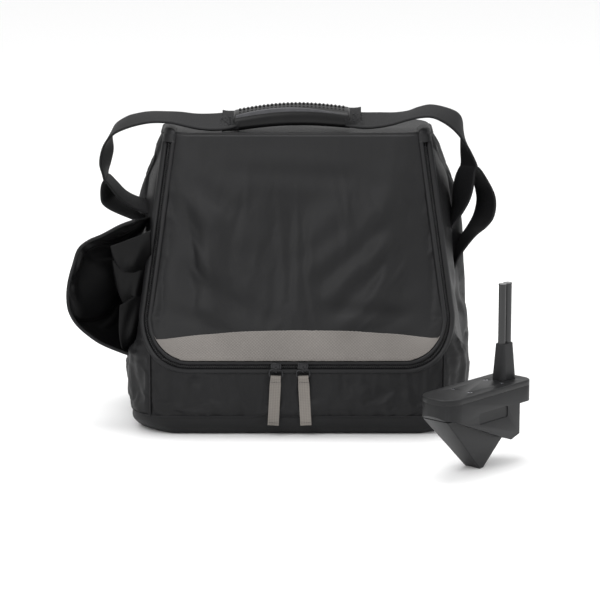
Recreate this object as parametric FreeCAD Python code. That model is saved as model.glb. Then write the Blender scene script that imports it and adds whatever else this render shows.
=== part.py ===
"""Portable sonar outfit: a zip-front carry bag with its power tray, and the wedge-shaped sonar head that
travels in it.

Millimetres, +Z up. The origin is on the floor under the middle of the bag; +X is the right-hand side as seen
from the front, and the zip front faces -Y. The head stands on its tip in front of the bag's right corner.
Each function makes one sub-part or a small group of them, and main() writes one STEP file per sub-part.
"""
import FreeCAD
import Part

import math
import os

from FreeCAD import Vector

# ---- bag: driving dimensions -------------------------------------------------------------------------
BAG_HEIGHT = 292.0
BASE_SEAM_Z = 20.0           # seam between the base cup and the walls
ZIP_Z = 72.0                 # height of the front run of the zip
FOLD_Z = ZIP_Z + 8.0         # the front leans back above this height
FLOOR_HALF_WIDTH = 160.0
BODY_HALF_WIDTH = 167.0
TOP_HALF_WIDTH = 139.0
FLOOR_FRONT_Y = -100.0
BODY_FRONT_Y = -110.0
TOP_FRONT_Y = -2.0
FLOOR_BACK_Y = 92.0
BODY_BACK_Y = 98.0
TOP_BACK_Y = 96.0
CORNER_R = 36.0
TOP_CORNER_R = 30.0
WALL = 5.0                   # padded fabric wall
SIDE_SEAM_X = 148.0          # upright seams at the ends of the front band
FRONT_BAND_TOP_Z = 130.0
BACK_PANEL_HALF = 112.0

# ---- zip and flap ------------------------------------------------------------------------------------
ZIP_HALF_LOW = 153.0         # half width between the zip's side runs, where they leave the corners
ZIP_HALF_TOP = 130.0
ZIP_CORNER_R = 45.0
ZIP_HALF_GAP = 1.0           # each tape stands this far from the zip's centre line
TAPE_EDGE = 5.0              # outer edge of a tape, from the centre line
TAPE_SET_IN = 0.8            # tapes lie this far below the fabric's face
TAPE_THICK = 2.4
BINDING_EDGE = 7.5
BINDING_PROUD = 1.4
HINGE_DROP = 6.0             # flap hinge below the top panel's upper face
HINGE_GAP = 0.3              # from the hinge axis to each panel
BINDING_STOP = 5.0           # bindings end this far below the hinge
TRIM_TOP_Z = 104.0
TRIM_PROUD = 1.2

# ---- zip sliders and pulls ---------------------------------------------------------------------------
SLIDER_MEET_X = -7.5         # where the two sliders meet
SLIDER_SPACING = 27.0
SLIDER_LONG = 11.0
SLIDER_THICK = 2.4
SLIDER_CLEARANCE = 0.4
POST_THICK = 1.4
BAIL_OUT = 4.4               # bail's reach from the slider's face
BAIL_HALF_TALL = 1.6
BAIL_THICK = 1.2
RING_WIRE_R = 0.8
RING_HALF_WIDE = 6.6
RING_TALL = 10.0
PULL_WIDE = 11.0
PULL_LONG = 47.0
PULL_THICK = 2.2
PULL_LEAN = 3.0              # degrees; each pull leans away from the other

# ---- carry strap, side loops and grip ---------------------------------------------------------------------
WEBBING_WIDE = 32.0
WEBBING_THICK = 2.4
WEBBING_TILT = 25.0          # degrees; the webbing's front edge lies lower than its back edge
STRAP_Y = 24.0               # middle of the strap, front to back
PATCH_DROP = 4.0             # sewn patches start this far below the loops' lower ends
PATCH_TALL = 24.0
# Middle lines of the webbing: x, and height above the top panel.
LEFT_RUN_PATH = [
    (-200.5, -46.0), (-205.0, -35.0), (-203.0, -20.0), (-193.0, -6.0), (-176.0, 3.0), (-152.0, 7.5),
    (-124.0, 8.5), (-95.0, 8.0),
]
RIGHT_RUN_PATH = [
    (83.0, 10.0), (112.0, 11.5), (136.0, 16.5), (154.0, 14.0), (168.0, 6.0), (176.0, -8.0),
    (180.0, -24.0),
]
LEFT_LOOP_PATH = [
    (-142.0, -82.0), (-172.0, -74.0), (-190.0, -63.0), (-199.0, -50.5), (-204.0, -60.0),
    (-203.5, -76.0), (-195.0, -84.0), (-172.0, -92.0), (-142.0, -101.0),
]
RIGHT_LOOP_PATH = [
    (148.0, -86.0), (160.0, -72.0), (170.0, -52.0), (180.0, -29.0), (191.0, -46.0), (202.0, -63.0),
    (206.0, -82.0), (200.0, -102.0), (185.0, -117.0), (172.0, -126.0), (150.0, -139.0),
]
GRIP_X = -5.5
GRIP_LONG = 121.0
GRIP_WIDE = 32.0
GRIP_THICK = 17.0
GRIP_OVER = 1.6              # gap between the top panel and the grip's ends
GRIP_RISE_LOW = 2.4
GRIP_RISE_TOP = 8.0
GRIP_WALL = 3.2
GRIP_RIBS = 27
GRIP_RIB_R = 1.3

# ---- side pouch --------------------------------------------------------------------------------------
POUCH_MOUTH_Y = -72.0
POUCH_BACK_Y = 6.0
POUCH_OUT_X = -231.0         # outermost reach of the pouch's mouth
POUCH_BACK_OUT_X = -182.0
POUCH_LOW_Z = 74.0
POUCH_HIGH_Z = 215.0
POUCH_FABRIC = 2.4
POUCH_SET_BACK = 2.0         # pouch's seam, out from the zip's binding

# ---- inside the bag ----------------------------------------------------------------------------------
BOARD_THICK = 3.0
FOAM_THICK = 7.0
TRAY_LONG = 236.0
TRAY_DEEP = 132.0
TRAY_TALL = 30.0
TRAY_WALL = 3.0
TRAY_CORNER_R = 14.0
TRAY_Y = -4.0
BATTERY_LONG = 151.0
BATTERY_DEEP = 98.0
BATTERY_TALL = 95.0
BATTERY_EDGE = 3.0
TERMINAL_WIDE = 8.0
TERMINAL_TALL = 6.5
TERMINAL_THICK = 1.0
TERMINAL_INSET = 14.0
BAND_WIDE = 38.0
BAND_THICK = 2.0

# ---- sonar head: driving dimensions; s runs along it, t across it, z up from its tip ---------------------
HEAD_X = 172.0
HEAD_Y = -224.0
HEAD_YAW = 48.0              # the head's long axis is turned this far from +X towards +Y
HEAD_LONG = 130.0
HEAD_WIDE = 44.0
HEAD_TALL = 80.0
BLOCK_TALL = 21.0            # upper block, deck included
DECK_THICK = 5.0
DECK_EDGE_R = 1.5
NOSE_CORNER_R = 19.0
TAIL_CORNER_R = 11.0
NOSE_UPRIGHT = 17.5          # height of the nose's upright face; its underside runs on into the wedge
CHEEK_TAIL_S = 43.0
CHEEK_NOSE_S = -57.0
CHEEK_LOW_S = 30.0
CHEEK_LOW_Z = 25.0
CHEEK_TAIL_Z = 29.0
CHEEK_THICK = 6.5            # each cheek, where it stands beside the wedge
WEDGE_WIDE = HEAD_WIDE - 2 * CHEEK_THICK
WEDGE_TIP_WIDE = 19.0        # the wedge's sides draw in towards its tip
WEDGE_TIP_FLAT = 5.0
HEAD_WALL = 3.0
GASKET_THICK = 0.6
GASKET_INSET = 0.3
SCREW_SPACING_S = 49.0
SCREW_SPACING_T = 20.0
SCREW_MID_S = 4.5
SCREW_HEAD_R = 2.7
SCREW_HEAD_TALL = 1.8
SCREW_SHANK_R = 1.5
SCREW_LONG = 9.0
INSERT_R = 2.4
INSERT_LONG = 5.0
BOSS_R = 4.0
BOSS_TALL = 10.0
BOOT_S = 45.0
BOOT_FOOT_HALF_S = 11.0
BOOT_FOOT_HALF_T = 8.0
BOOT_TOP_HALF_S = 8.8
BOOT_TOP_HALF_T = 5.4
BOOT_TALL = 36.0
STEM_LONG = 58.0             # stem that shows above the boot
CABLE_R = 4.1
ROD_R = 3.7
STEM_GAP = 0.2               # between the cable and the rod
STEM_CAP_THICK = 1.2
NUT_R = 9.5
NUT_TALL = 3.4
SEAL_R = 1.0
SEAL_DEEP = 2.0              # seal's middle, below the deck's face
BEZEL_THICK = 1.0
ARRAY_THICK = 3.0
ARRAY_LONG = 30.0
BACKING_THICK = 5.0
PCB_THICK = 1.6
PCB_LONG = 70.0
PCB_CLEARANCE = 2.0          # from each of the housing's side walls
STANDOFF_R = 2.2
STANDOFF_TALL = 3.0
PCB_SCREW_R = 1.0
PCB_INSET = 4.0
RIBBON_WIDE = 12.0
RIBBON_THICK = 0.5
RIBBON_LOW_Z = 23.0
PLATE_LONG = 44.0            # blank plate on each cheek
PLATE_TALL = 11.0
PLATE_THICK = 0.8


# ---- small helpers -----------------------------------------------------------------------------------
def between(low, high, share):
    return low + (high - low) * share


def box(x0, x1, y0, y1, z0, z1):
    return Part.makeBox(x1 - x0, y1 - y0, z1 - z0, Vector(x0, y0, z0))


def cylinder(radius, x, y, z0, z1):
    return Part.makeCylinder(radius, z1 - z0, Vector(x, y, z0))


def slab(points, low_y, high_y):
    """An outline in the XZ plane, carried along Y from low_y to high_y."""
    wire = Part.makePolygon([Vector(x, low_y, z) for x, z in [*points, points[0]]])
    return Part.Face(wire).extrude(Vector(0, high_y - low_y, 0))


def upright_edges(shape):
    return [e for e in shape.Edges if abs(e.tangentAt(e.FirstParameter).z) > 0.99]


def rounded_block(long, deep, tall, radius, centre):
    """A block with rounded upright corners; centre is the middle of its underside."""
    x, y, z = centre
    block = box(x - long / 2, x + long / 2, y - deep / 2, y + deep / 2, z, z + tall)
    return block.makeFillet(radius, upright_edges(block))


# ---- the bag's outer form ----------------------------------------------------------------------------
def bag_levels():
    """(z, half width, front y, back y, corner radius) where the bag's form changes slope."""
    return [
        (0.0, FLOOR_HALF_WIDTH, FLOOR_FRONT_Y, FLOOR_BACK_Y, CORNER_R),
        (BASE_SEAM_Z, BODY_HALF_WIDTH, BODY_FRONT_Y, BODY_BACK_Y, CORNER_R),
        (FOLD_Z, BODY_HALF_WIDTH, BODY_FRONT_Y, BODY_BACK_Y, CORNER_R),
        (BAG_HEIGHT, TOP_HALF_WIDTH, TOP_FRONT_Y, TOP_BACK_Y, TOP_CORNER_R),
    ]


def bag_form_at(z):
    """The bag's (half width, front y, back y, corner radius) at height z, carried on past both ends."""
    levels = bag_levels()
    for low, high in zip(levels, levels[1:]):
        if z <= high[0] or high is levels[-1]:
            share = (z - low[0]) / (high[0] - low[0])
            return [between(a, b, share) for a, b in zip(low[1:], high[1:])]


def outline_wire(z, inset):
    """Rounded rectangle of the bag at height z, drawn in by inset."""
    half, front, back, radius = bag_form_at(z)
    half, front, back, radius = half - inset, front + inset, back - inset, radius - inset
    corners = [
        (half - radius, front + radius, -90.0),
        (half - radius, back - radius, 0.0),
        (-half + radius, back - radius, 90.0),
        (-half + radius, front + radius, 180.0),
    ]
    arcs = [Part.makeCircle(radius, Vector(x, y, z), Vector(0, 0, 1), a, a + 90.0) for x, y, a in corners]
    edges = []
    for arc, following in zip(arcs, arcs[1:] + arcs[:1]):
        edges.append(arc)
        here = arc.valueAt(arc.LastParameter)
        there = following.valueAt(following.FirstParameter)
        edges.append(Part.makeLine(here, there))
    return Part.Wire(edges)


def bag_solid(inset, floor_z, roof_z):
    """The bag's form drawn in by inset, from floor_z to roof_z."""
    inner = [level[0] for level in bag_levels() if floor_z < level[0] < roof_z]
    heights = [floor_z, *inner, roof_z]
    pieces = [
        Part.makeLoft([outline_wire(low, inset), outline_wire(high, inset)], True, True)
        for low, high in zip(heights, heights[1:])
    ]
    return pieces[0].multiFuse(pieces[1:]).removeSplitter()


def bag_skin(outer_inset, inner_inset):
    """The closed skin of the bag between two insets."""
    outer = bag_solid(outer_inset, outer_inset, BAG_HEIGHT - outer_inset)
    inner = bag_solid(inner_inset, inner_inset, BAG_HEIGHT - inner_inset)
    return outer.cut(inner)


def zip_prism(offset):
    """All that lies in front of the bag's middle inside the zip's U-shaped line, grown by offset."""
    low = ZIP_Z - offset
    side = ZIP_HALF_LOW + offset
    radius = ZIP_CORNER_R + offset
    flat = side - radius
    corner_z = low + radius
    over = BAG_HEIGHT + 20.0
    narrowing = (ZIP_HALF_LOW - ZIP_HALF_TOP) / (BAG_HEIGHT - ZIP_Z - ZIP_CORNER_R)
    upper = side - narrowing * (over - corner_z)
    turn = radius * math.sqrt(0.5)
    right = Part.Arc(
        Vector(flat, 0, low), Vector(flat + turn, 0, corner_z - turn), Vector(side, 0, corner_z)
    )
    left = Part.Arc(
        Vector(-side, 0, corner_z), Vector(-flat - turn, 0, corner_z - turn), Vector(-flat, 0, low)
    )
    wire = Part.Wire([
        Part.makeLine(Vector(-flat, 0, low), Vector(flat, 0, low)),
        right.toShape(),
        Part.makeLine(Vector(side, 0, corner_z), Vector(upper, 0, over)),
        Part.makeLine(Vector(upper, 0, over), Vector(-upper, 0, over)),
        Part.makeLine(Vector(-upper, 0, over), Vector(-side, 0, corner_z)),
        left.toShape(),
    ])
    wire.translate(Vector(0, BODY_FRONT_Y - 20.0, 0))
    return Part.Face(wire).extrude(Vector(0, 30.0 + 20.0 - BODY_FRONT_Y, 0))


def hinge_z():
    return BAG_HEIGHT - HINGE_DROP


def slab_between(low_z, high_z):
    return box(-400, 400, -400, 400, low_z, high_z)


# ---- the bag's sewn panels ---------------------------------------------------------------------------
def body_panels():
    skin = bag_skin(0.0, WALL)
    mouth = zip_prism(TAPE_EDGE)
    walls = skin.common(slab_between(BASE_SEAM_Z, hinge_z() + HINGE_GAP))
    back_box = box(-BACK_PANEL_HALF, BACK_PANEL_HALF, 50, 200, 0, BAG_HEIGHT)
    band_box = box(-SIDE_SEAM_X, SIDE_SEAM_X, -200, 0, 0, FRONT_BAND_TOP_Z)
    sides = walls.cut(mouth).cut(back_box).cut(band_box)
    return {
        "base_cup": skin.common(slab_between(0, BASE_SEAM_Z)),
        "front_band": walls.common(band_box).cut(mouth),
        "back_panel": walls.common(back_box),
        "left_side_panel": sides.common(box(-400, 0, -400, 400, 0, BAG_HEIGHT)),
        "right_side_panel": sides.common(box(0, 400, -400, 400, 0, BAG_HEIGHT)),
        "top_panel": skin.common(slab_between(hinge_z() + HINGE_GAP, BAG_HEIGHT)),
    }


def flap_and_zip():
    below_hinge = slab_between(0, hinge_z() - HINGE_GAP)
    below_stop = slab_between(0, hinge_z() - BINDING_STOP)
    tapes = bag_skin(TAPE_SET_IN, TAPE_SET_IN + TAPE_THICK).common(below_hinge)
    raised = bag_skin(-BINDING_PROUD, 0.0).common(below_stop)
    flap = bag_skin(0.0, WALL).common(zip_prism(-TAPE_EDGE)).common(below_hinge)
    trim = bag_skin(-TRIM_PROUD, 0.0).common(zip_prism(-BINDING_EDGE)).common(slab_between(0, TRIM_TOP_Z))
    return {
        "flap_panel": flap,
        "flap_zip_tape": tapes.common(zip_prism(-ZIP_HALF_GAP)).cut(zip_prism(-TAPE_EDGE)),
        "flap_binding": raised.common(zip_prism(-TAPE_EDGE)).cut(zip_prism(-BINDING_EDGE)),
        "trim_panel": trim,
        "body_zip_tape": tapes.common(zip_prism(TAPE_EDGE)).cut(zip_prism(ZIP_HALF_GAP)),
        "body_binding": raised.common(zip_prism(BINDING_EDGE)).cut(zip_prism(TAPE_EDGE)),
    }


# ---- zip sliders and their pulls ---------------------------------------------------------------------
def slider_faces():
    """(y of the front plate's back, y of the back plate's front)."""
    tape_front = BODY_FRONT_Y + TAPE_SET_IN
    return tape_front - SLIDER_CLEARANCE, tape_front + TAPE_THICK + SLIDER_CLEARANCE


def slider(x):
    front, back = slider_faces()
    half = SLIDER_LONG / 2
    low = ZIP_Z - TAPE_EDGE + SLIDER_CLEARANCE
    split = ZIP_Z + POST_THICK / 2
    plate = box(x - half, x + half, front - SLIDER_THICK, front, low, split)
    plate = plate.makeChamfer(0.6, [e for e in plate.Edges if e.CenterOfMass.y < front - SLIDER_THICK + 0.1])
    rear = box(x - half, x + half, back, back + 1.2, low, split)
    post = box(x - half / 2, x + half / 2, front - 0.2, back + 0.2, split - POST_THICK, split)
    return plate.fuse(rear).fuse(post).fuse(bail(x)).removeSplitter()


def bail_z():
    return ZIP_Z - TAPE_EDGE / 2


def bail(x):
    """The bridge on the slider that the pull's ring hangs from."""
    face = slider_faces()[0] - SLIDER_THICK
    half = BAIL_HALF_TALL + BAIL_THICK
    bridge = box(x - 1.1, x + 1.1, face - BAIL_OUT, face + 0.2, bail_z() - half, bail_z() + half)
    outer = [e for e in bridge.Edges if e.CenterOfMass.y < face - BAIL_OUT + 0.1]
    corners = [e for e in outer if abs(e.tangentAt(0).x) > 0.9]
    bridge = bridge.makeFillet(0.9, corners)
    low = bail_z() - BAIL_HALF_TALL
    high = bail_z() + BAIL_HALF_TALL
    eye = box(x - 2, x + 2, face - BAIL_OUT + BAIL_THICK, face, low, high)
    return bridge.cut(eye)


def pivot_y():
    return slider_faces()[0] - SLIDER_THICK - (BAIL_OUT - BAIL_THICK) / 2


def pull_ring(x):
    """Rectangular wire ring: its upper bar runs through the bail, its lower bar holds the webbing."""
    y = pivot_y()
    top = bail_z()
    foot = top - RING_TALL
    corner = 2.0
    half = RING_HALF_WIDE
    loop = box(x - half, x + half, y - RING_WIRE_R, y + RING_WIRE_R, foot, top)
    outer = box(
        x - half - RING_WIRE_R, x + half + RING_WIRE_R, y - RING_WIRE_R, y + RING_WIRE_R,
        foot - RING_WIRE_R, top + RING_WIRE_R,
    )
    inner_half = half - RING_WIRE_R
    inner = box(x - inner_half, x + inner_half, y - 5, y + 5, foot + RING_WIRE_R, top - RING_WIRE_R)
    outer = outer.makeFillet(corner, [e for e in outer.Edges if abs(e.tangentAt(0).y) > 0.9])
    inner = inner.makeFillet(corner - 1.0, [e for e in inner.Edges if abs(e.tangentAt(0).y) > 0.9])
    return outer.cut(inner)


def pull_tab(x):
    """Webbing folded round the ring's lower bar and stitched flat."""
    y = pivot_y()
    bar = bail_z() - RING_TALL
    clear = RING_WIRE_R + 0.25
    eye_half_y = clear
    left = x - PULL_WIDE / 2
    right = x + PULL_WIDE / 2
    head = box(left, right, y - eye_half_y - 0.9, y + eye_half_y + 0.9, bar - 2.2, bar + clear + 0.9)
    eye = box(x - 20, x + 20, y - eye_half_y, y + eye_half_y, bar - clear, bar + clear)
    blade = box(left, right, y - PULL_THICK / 2, y + PULL_THICK / 2, bar - PULL_LONG, bar - 2.0)
    return head.cut(eye).fuse(blade).removeSplitter()


def leaning(shape, x, lean):
    """The shape leaned about the bail, lean degrees about +Y."""
    shape.rotate(Vector(x, pivot_y(), bail_z()), Vector(0, 1, 0), lean)
    return shape


def sliders_and_pulls():
    parts = {}
    for side, hand in (("left", -1.0), ("right", 1.0)):
        x = SLIDER_MEET_X + hand * SLIDER_SPACING / 2
        parts[side + "_slider"] = slider(x)
        parts[side + "_pull_ring"] = leaning(pull_ring(x), x, -hand * PULL_LEAN)
        parts[side + "_pull_tab"] = leaning(pull_tab(x), x, -hand * PULL_LEAN)
    return parts


# ---- strap, side loops and grip ---------------------------------------------------------------------------
def smooth_points(path):
    """Evenly spread points and their aside directions along a smooth line through path, in the XZ plane."""
    curve = Part.BSplineCurve()
    curve.interpolate([Vector(x, 0, z) for x, z in path])
    count = 6 * len(path)
    found = []
    for n in range(count + 1):
        u = between(curve.FirstParameter, curve.LastParameter, n / count)
        along = curve.tangent(u)[0]
        found.append((curve.value(u), Vector(-along.z, 0, along.x)))
    return found


def webbing_along(path):
    """A band of webbing whose middle line follows path, tilted so that its front edge is lower."""
    points = smooth_points(path)
    near = [at + aside * (WEBBING_THICK / 2) for at, aside in points]
    far = [at - aside * (WEBBING_THICK / 2) for at, aside in points]
    sides = []
    for line in (near, far):
        edge = Part.BSplineCurve()
        edge.interpolate(line)
        sides.append(edge.toShape())
    wire = Part.Wire([
        sides[0],
        Part.makeLine(near[-1], far[-1]),
        sides[1],
        Part.makeLine(far[0], near[0]),
    ])
    tilt = math.radians(WEBBING_TILT)
    width = Vector(0, WEBBING_WIDE * math.cos(tilt), WEBBING_WIDE * math.sin(tilt))
    wire.translate(Vector(0, STRAP_Y, 0) - width / 2)
    return Part.Face(wire).extrude(width)


def grip_rest_z():
    return BAG_HEIGHT + GRIP_OVER


def over_top(path):
    return [(x, BAG_HEIGHT + z) for x, z in path]


def strap_parts():
    body = bag_solid(0.0, 0.0, BAG_HEIGHT)
    half = WEBBING_WIDE / 2
    skin = bag_skin(-WEBBING_THICK, 0.0)
    patches = []
    for path, near in ((LEFT_LOOP_PATH, -400.0), (RIGHT_LOOP_PATH, 0.0)):
        high = BAG_HEIGHT + path[-1][1] - PATCH_DROP - half * math.sin(math.radians(WEBBING_TILT))
        strip = box(near, near + 400, STRAP_Y - half, STRAP_Y + half, high - PATCH_TALL, high)
        patches.append(skin.common(strip))
    left_end = GRIP_X - GRIP_LONG / 2
    right_end = GRIP_X + GRIP_LONG / 2
    seat_z = grip_rest_z() + GRIP_THICK / 2
    grip = grip_bar(0.0)
    return {
        "left_strap": webbing_along([*over_top(LEFT_RUN_PATH), (left_end, seat_z)]).cut(grip),
        "right_strap": webbing_along([(right_end, seat_z), *over_top(RIGHT_RUN_PATH)]).cut(grip),
        "left_side_loop": webbing_along(over_top(LEFT_LOOP_PATH)).cut(body),
        "right_side_loop": webbing_along(over_top(RIGHT_LOOP_PATH)).cut(body),
        "strap_patches": Part.makeCompound(patches),
    }


def grip_profile(shrink):
    """Arched outline of the grip in the XZ plane, drawn in by shrink."""
    half = GRIP_LONG / 2 - shrink
    low = grip_rest_z() + shrink
    high = grip_rest_z() + GRIP_THICK - shrink
    low_left = Vector(GRIP_X - half, 0, low)
    low_right = Vector(GRIP_X + half, 0, low)
    high_left = Vector(GRIP_X - half, 0, high)
    high_right = Vector(GRIP_X + half, 0, high)
    under = Part.Arc(low_left, Vector(GRIP_X, 0, low + GRIP_RISE_LOW), low_right)
    over = Part.Arc(high_right, Vector(GRIP_X, 0, high + GRIP_RISE_TOP), high_left)
    right_end = Part.makeLine(low_right, high_right)
    left_end = Part.makeLine(high_left, low_left)
    return Part.Wire([under.toShape(), right_end, over.toShape(), left_end])


def grip_bar(shrink):
    wide = GRIP_WIDE - 2 * shrink
    wire = grip_profile(shrink)
    wire.translate(Vector(0, STRAP_Y - wide / 2, 0))
    return Part.Face(wire).extrude(Vector(0, wide, 0))


def grip_parts():
    half = GRIP_LONG / 2
    cover = grip_bar(0.0)
    cover = cover.makeFillet(4.0, [e for e in cover.Edges if e.Length > 0.6 * GRIP_LONG])
    core = grip_bar(GRIP_WALL)
    radius = (half * half + GRIP_RISE_TOP * GRIP_RISE_TOP) / (2 * GRIP_RISE_TOP)
    crest = grip_rest_z() + GRIP_THICK + GRIP_RISE_TOP
    rib_wide = GRIP_WIDE - 9.0
    ribs = []
    for n in range(GRIP_RIBS):
        x = between(-half + 6.0, half - 6.0, n / (GRIP_RIBS - 1))
        z = crest - radius + math.sqrt(radius * radius - x * x)
        start = Vector(GRIP_X + x, STRAP_Y - rib_wide / 2, z)
        ribs.append(Part.makeCylinder(GRIP_RIB_R, rib_wide, start, Vector(0, 1, 0)))
    return {"grip_cover": cover.multiFuse(ribs).cut(core), "grip_core": core}


# ---- side pouch --------------------------------------------------------------------------------------
def pouch_section(y, out_x, inset):
    """Half-oval section of the pouch at depth y, its flat side on the bag's side panel."""
    mid_z = (POUCH_LOW_Z + POUCH_HIGH_Z) / 2
    half = (POUCH_HIGH_Z - POUCH_LOW_Z) / 2 - inset
    wall_x = -BODY_HALF_WIDTH + 30.0
    out = out_x + inset
    points = [Vector(wall_x, y, mid_z - half)]
    for n in range(0, 13):
        turn = math.radians(-90.0 + 15.0 * n)
        reach = math.cos(turn) ** 0.8 if abs(turn) < 1.57 else 0.0
        start = -BODY_HALF_WIDTH + 8.0
        points.append(Vector(between(start, out, reach), y, mid_z + half * math.sin(turn)))
    points.append(Vector(wall_x, y, mid_z + half))
    curve = Part.BSplineCurve()
    curve.interpolate(points[1:-1])
    return Part.Wire([
        Part.makeLine(points[0], points[1]),
        curve.toShape(),
        Part.makeLine(points[-2], points[-1]),
        Part.makeLine(points[-1], points[0]),
    ])


def pouch_parts():
    body = bag_solid(0.0, 0.0, BAG_HEIGHT)
    outer = Part.makeLoft([
        pouch_section(POUCH_MOUTH_Y, POUCH_OUT_X, 0.0), pouch_section(POUCH_BACK_Y, POUCH_BACK_OUT_X, 0.0)
    ], True, True)
    inner = Part.makeLoft([
        pouch_section(POUCH_MOUTH_Y - 1.0, POUCH_OUT_X, POUCH_FABRIC),
        pouch_section(POUCH_BACK_Y - POUCH_FABRIC, POUCH_BACK_OUT_X, POUCH_FABRIC),
    ], True, True)
    shell = outer.cut(inner).cut(body).cut(zip_prism(BINDING_EDGE + POUCH_SET_BACK))
    rim_zone = box(-400, 0, POUCH_MOUTH_Y - 4.0, POUCH_MOUTH_Y, 0, BAG_HEIGHT)
    rim_outer = Part.Face(pouch_section(POUCH_MOUTH_Y, POUCH_OUT_X, 0.0)).extrude(Vector(0, -4.0, 0))
    rim_inner = Part.Face(pouch_section(POUCH_MOUTH_Y, POUCH_OUT_X, POUCH_FABRIC)).extrude(Vector(0, -4.0, 0))
    rim = rim_outer.cut(rim_inner).cut(body).cut(zip_prism(BINDING_EDGE + POUCH_SET_BACK)).common(rim_zone)
    return {"side_pouch": largest(shell), "pouch_binding": largest(rim)}


def largest(shape):
    return max(shape.Solids, key=lambda solid: solid.Volume)


# ---- inside the bag ----------------------------------------------------------------------------------
def inner_parts():
    floor = WALL
    board = bag_solid(WALL + 14.0, floor, floor + BOARD_THICK)
    pad_low = floor + BOARD_THICK
    pad = bag_solid(WALL + 14.0, pad_low, pad_low + FOAM_THICK)
    tray_low = pad_low + FOAM_THICK
    outer = rounded_block(TRAY_LONG, TRAY_DEEP, TRAY_TALL, TRAY_CORNER_R, (0, TRAY_Y, tray_low))
    hollow = rounded_block(
        TRAY_LONG - 2 * TRAY_WALL, TRAY_DEEP - 2 * TRAY_WALL, TRAY_TALL, TRAY_CORNER_R - TRAY_WALL,
        (0, TRAY_Y, tray_low + TRAY_WALL),
    )
    battery_low = tray_low + TRAY_WALL
    battery = rounded_block(BATTERY_LONG, BATTERY_DEEP, BATTERY_TALL, BATTERY_EDGE, (0, TRAY_Y, battery_low))
    battery_top = battery_low + BATTERY_TALL
    tabs = []
    for hand in (-1.0, 1.0):
        x = hand * (BATTERY_LONG / 2 - TERMINAL_INSET)
        y = TRAY_Y - BATTERY_DEEP / 2 + TERMINAL_INSET
        tabs.append(box(
            x - TERMINAL_WIDE / 2, x + TERMINAL_WIDE / 2, y - TERMINAL_THICK / 2, y + TERMINAL_THICK / 2,
            battery_top, battery_top + TERMINAL_TALL,
        ))
    half_deep = BATTERY_DEEP / 2
    band = box(
        -BAND_WIDE / 2, BAND_WIDE / 2, TRAY_Y - half_deep - BAND_THICK, TRAY_Y + half_deep + BAND_THICK,
        battery_low, battery_top + BAND_THICK,
    )
    band = band.cut(box(
        -BAND_WIDE, BAND_WIDE, TRAY_Y - half_deep, TRAY_Y + half_deep, battery_low - 1.0, battery_top
    ))
    back_low = BASE_SEAM_Z + 4.0
    back_high = BAG_HEIGHT - 24.0
    inside = BODY_BACK_Y - WALL - 2.5
    pad_half = BACK_PANEL_HALF - 6
    back_pad = box(-pad_half, pad_half, inside - FOAM_THICK, inside, back_low, back_high)
    return {
        "base_board": board,
        "floor_pad": pad,
        "back_pad": back_pad,
        "power_tray": outer.cut(hollow),
        "battery": battery,
        "battery_terminals": Part.makeCompound(tabs),
        "battery_band": band,
    }


# ---- sonar head, in its own frame --------------------------------------------------------------------
def head_plan(inset, low_z, tall):
    """The upper block's plan: round nose corners at -s, smaller tail corners at +s."""
    half = HEAD_WIDE / 2 - inset
    nose = -HEAD_LONG / 2 + inset
    tail = HEAD_LONG / 2 - inset
    block = box(nose, tail, -half, half, low_z, low_z + tall)
    nose_edges = [e for e in upright_edges(block) if e.CenterOfMass.x < 0]
    nose_radius = min(NOSE_CORNER_R, HEAD_WIDE / 2 - 1.0)
    block = block.makeFillet(nose_radius - inset, nose_edges)
    tail_edges = [e for e in upright_edges(block) if e.CenterOfMass.x > tail - 0.1]
    corners = [e for e in tail_edges if abs(abs(e.CenterOfMass.y) - half) < 0.1]
    return block.makeFillet(TAIL_CORNER_R - inset, corners)


def side_slab(points, half):
    return slab(points, -half, half)


def nose_trim(inset):
    """What the 45-degree underside of the nose takes away."""
    nose = -HEAD_LONG / 2
    start = HEAD_TALL - NOSE_UPRIGHT + inset * math.sqrt(2.0)
    reach = 90.0
    corners = [(nose - 1.0, start + 1.0), (nose + reach, start - reach), (nose - 1.0, start - reach)]
    return side_slab(corners, 60.0)


def cheek_outline(inset):
    """The lower cheeks seen from the side, up to the underside of the upper block."""
    seam = HEAD_TALL - BLOCK_TALL
    return [
        (CHEEK_NOSE_S + inset, seam),
        (CHEEK_LOW_S - inset / 3, CHEEK_LOW_Z + inset),
        (CHEEK_TAIL_S - inset, CHEEK_TAIL_Z + inset),
        (CHEEK_TAIL_S - inset, seam),
    ]


def wedge_outline(inset):
    """The lower wedge seen from the side: two 45-degree faces that meet at the small flat tip."""
    half = WEDGE_TIP_FLAT / 2
    cut = inset * 0.414
    rise = HEAD_TALL - BLOCK_TALL
    return [
        (-half - rise + inset * 1.414, rise),
        (-half + cut, inset),
        (half - cut, inset),
        (half + 32.0 - inset, 32.0 + inset * 0.414),
        (half + 32.0 - inset, rise),
    ]


def wedge_sides(inset):
    """What the wedge's two sides enclose; they draw in towards its tip."""
    top = HEAD_TALL - BLOCK_TALL
    wide = WEDGE_WIDE / 2 - inset
    narrow = WEDGE_TIP_WIDE / 2 - inset
    corners = [(-narrow, 0.0), (narrow, 0.0), (wide, top), (-wide, top), (-narrow, 0.0)]
    wire = Part.makePolygon([Vector(-HEAD_LONG, t, z) for t, z in corners])
    return Part.Face(wire).extrude(Vector(2 * HEAD_LONG, 0, 0))


def screw_places():
    return [
        (SCREW_MID_S + a * SCREW_SPACING_S / 2, b * SCREW_SPACING_T / 2)
        for a in (-1, 1) for b in (-1, 1)
    ]


def cable_s():
    return BOOT_S + (CABLE_R + ROD_R + STEM_GAP) / 2


def rod_s():
    return BOOT_S - (CABLE_R + ROD_R + STEM_GAP) / 2


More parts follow.
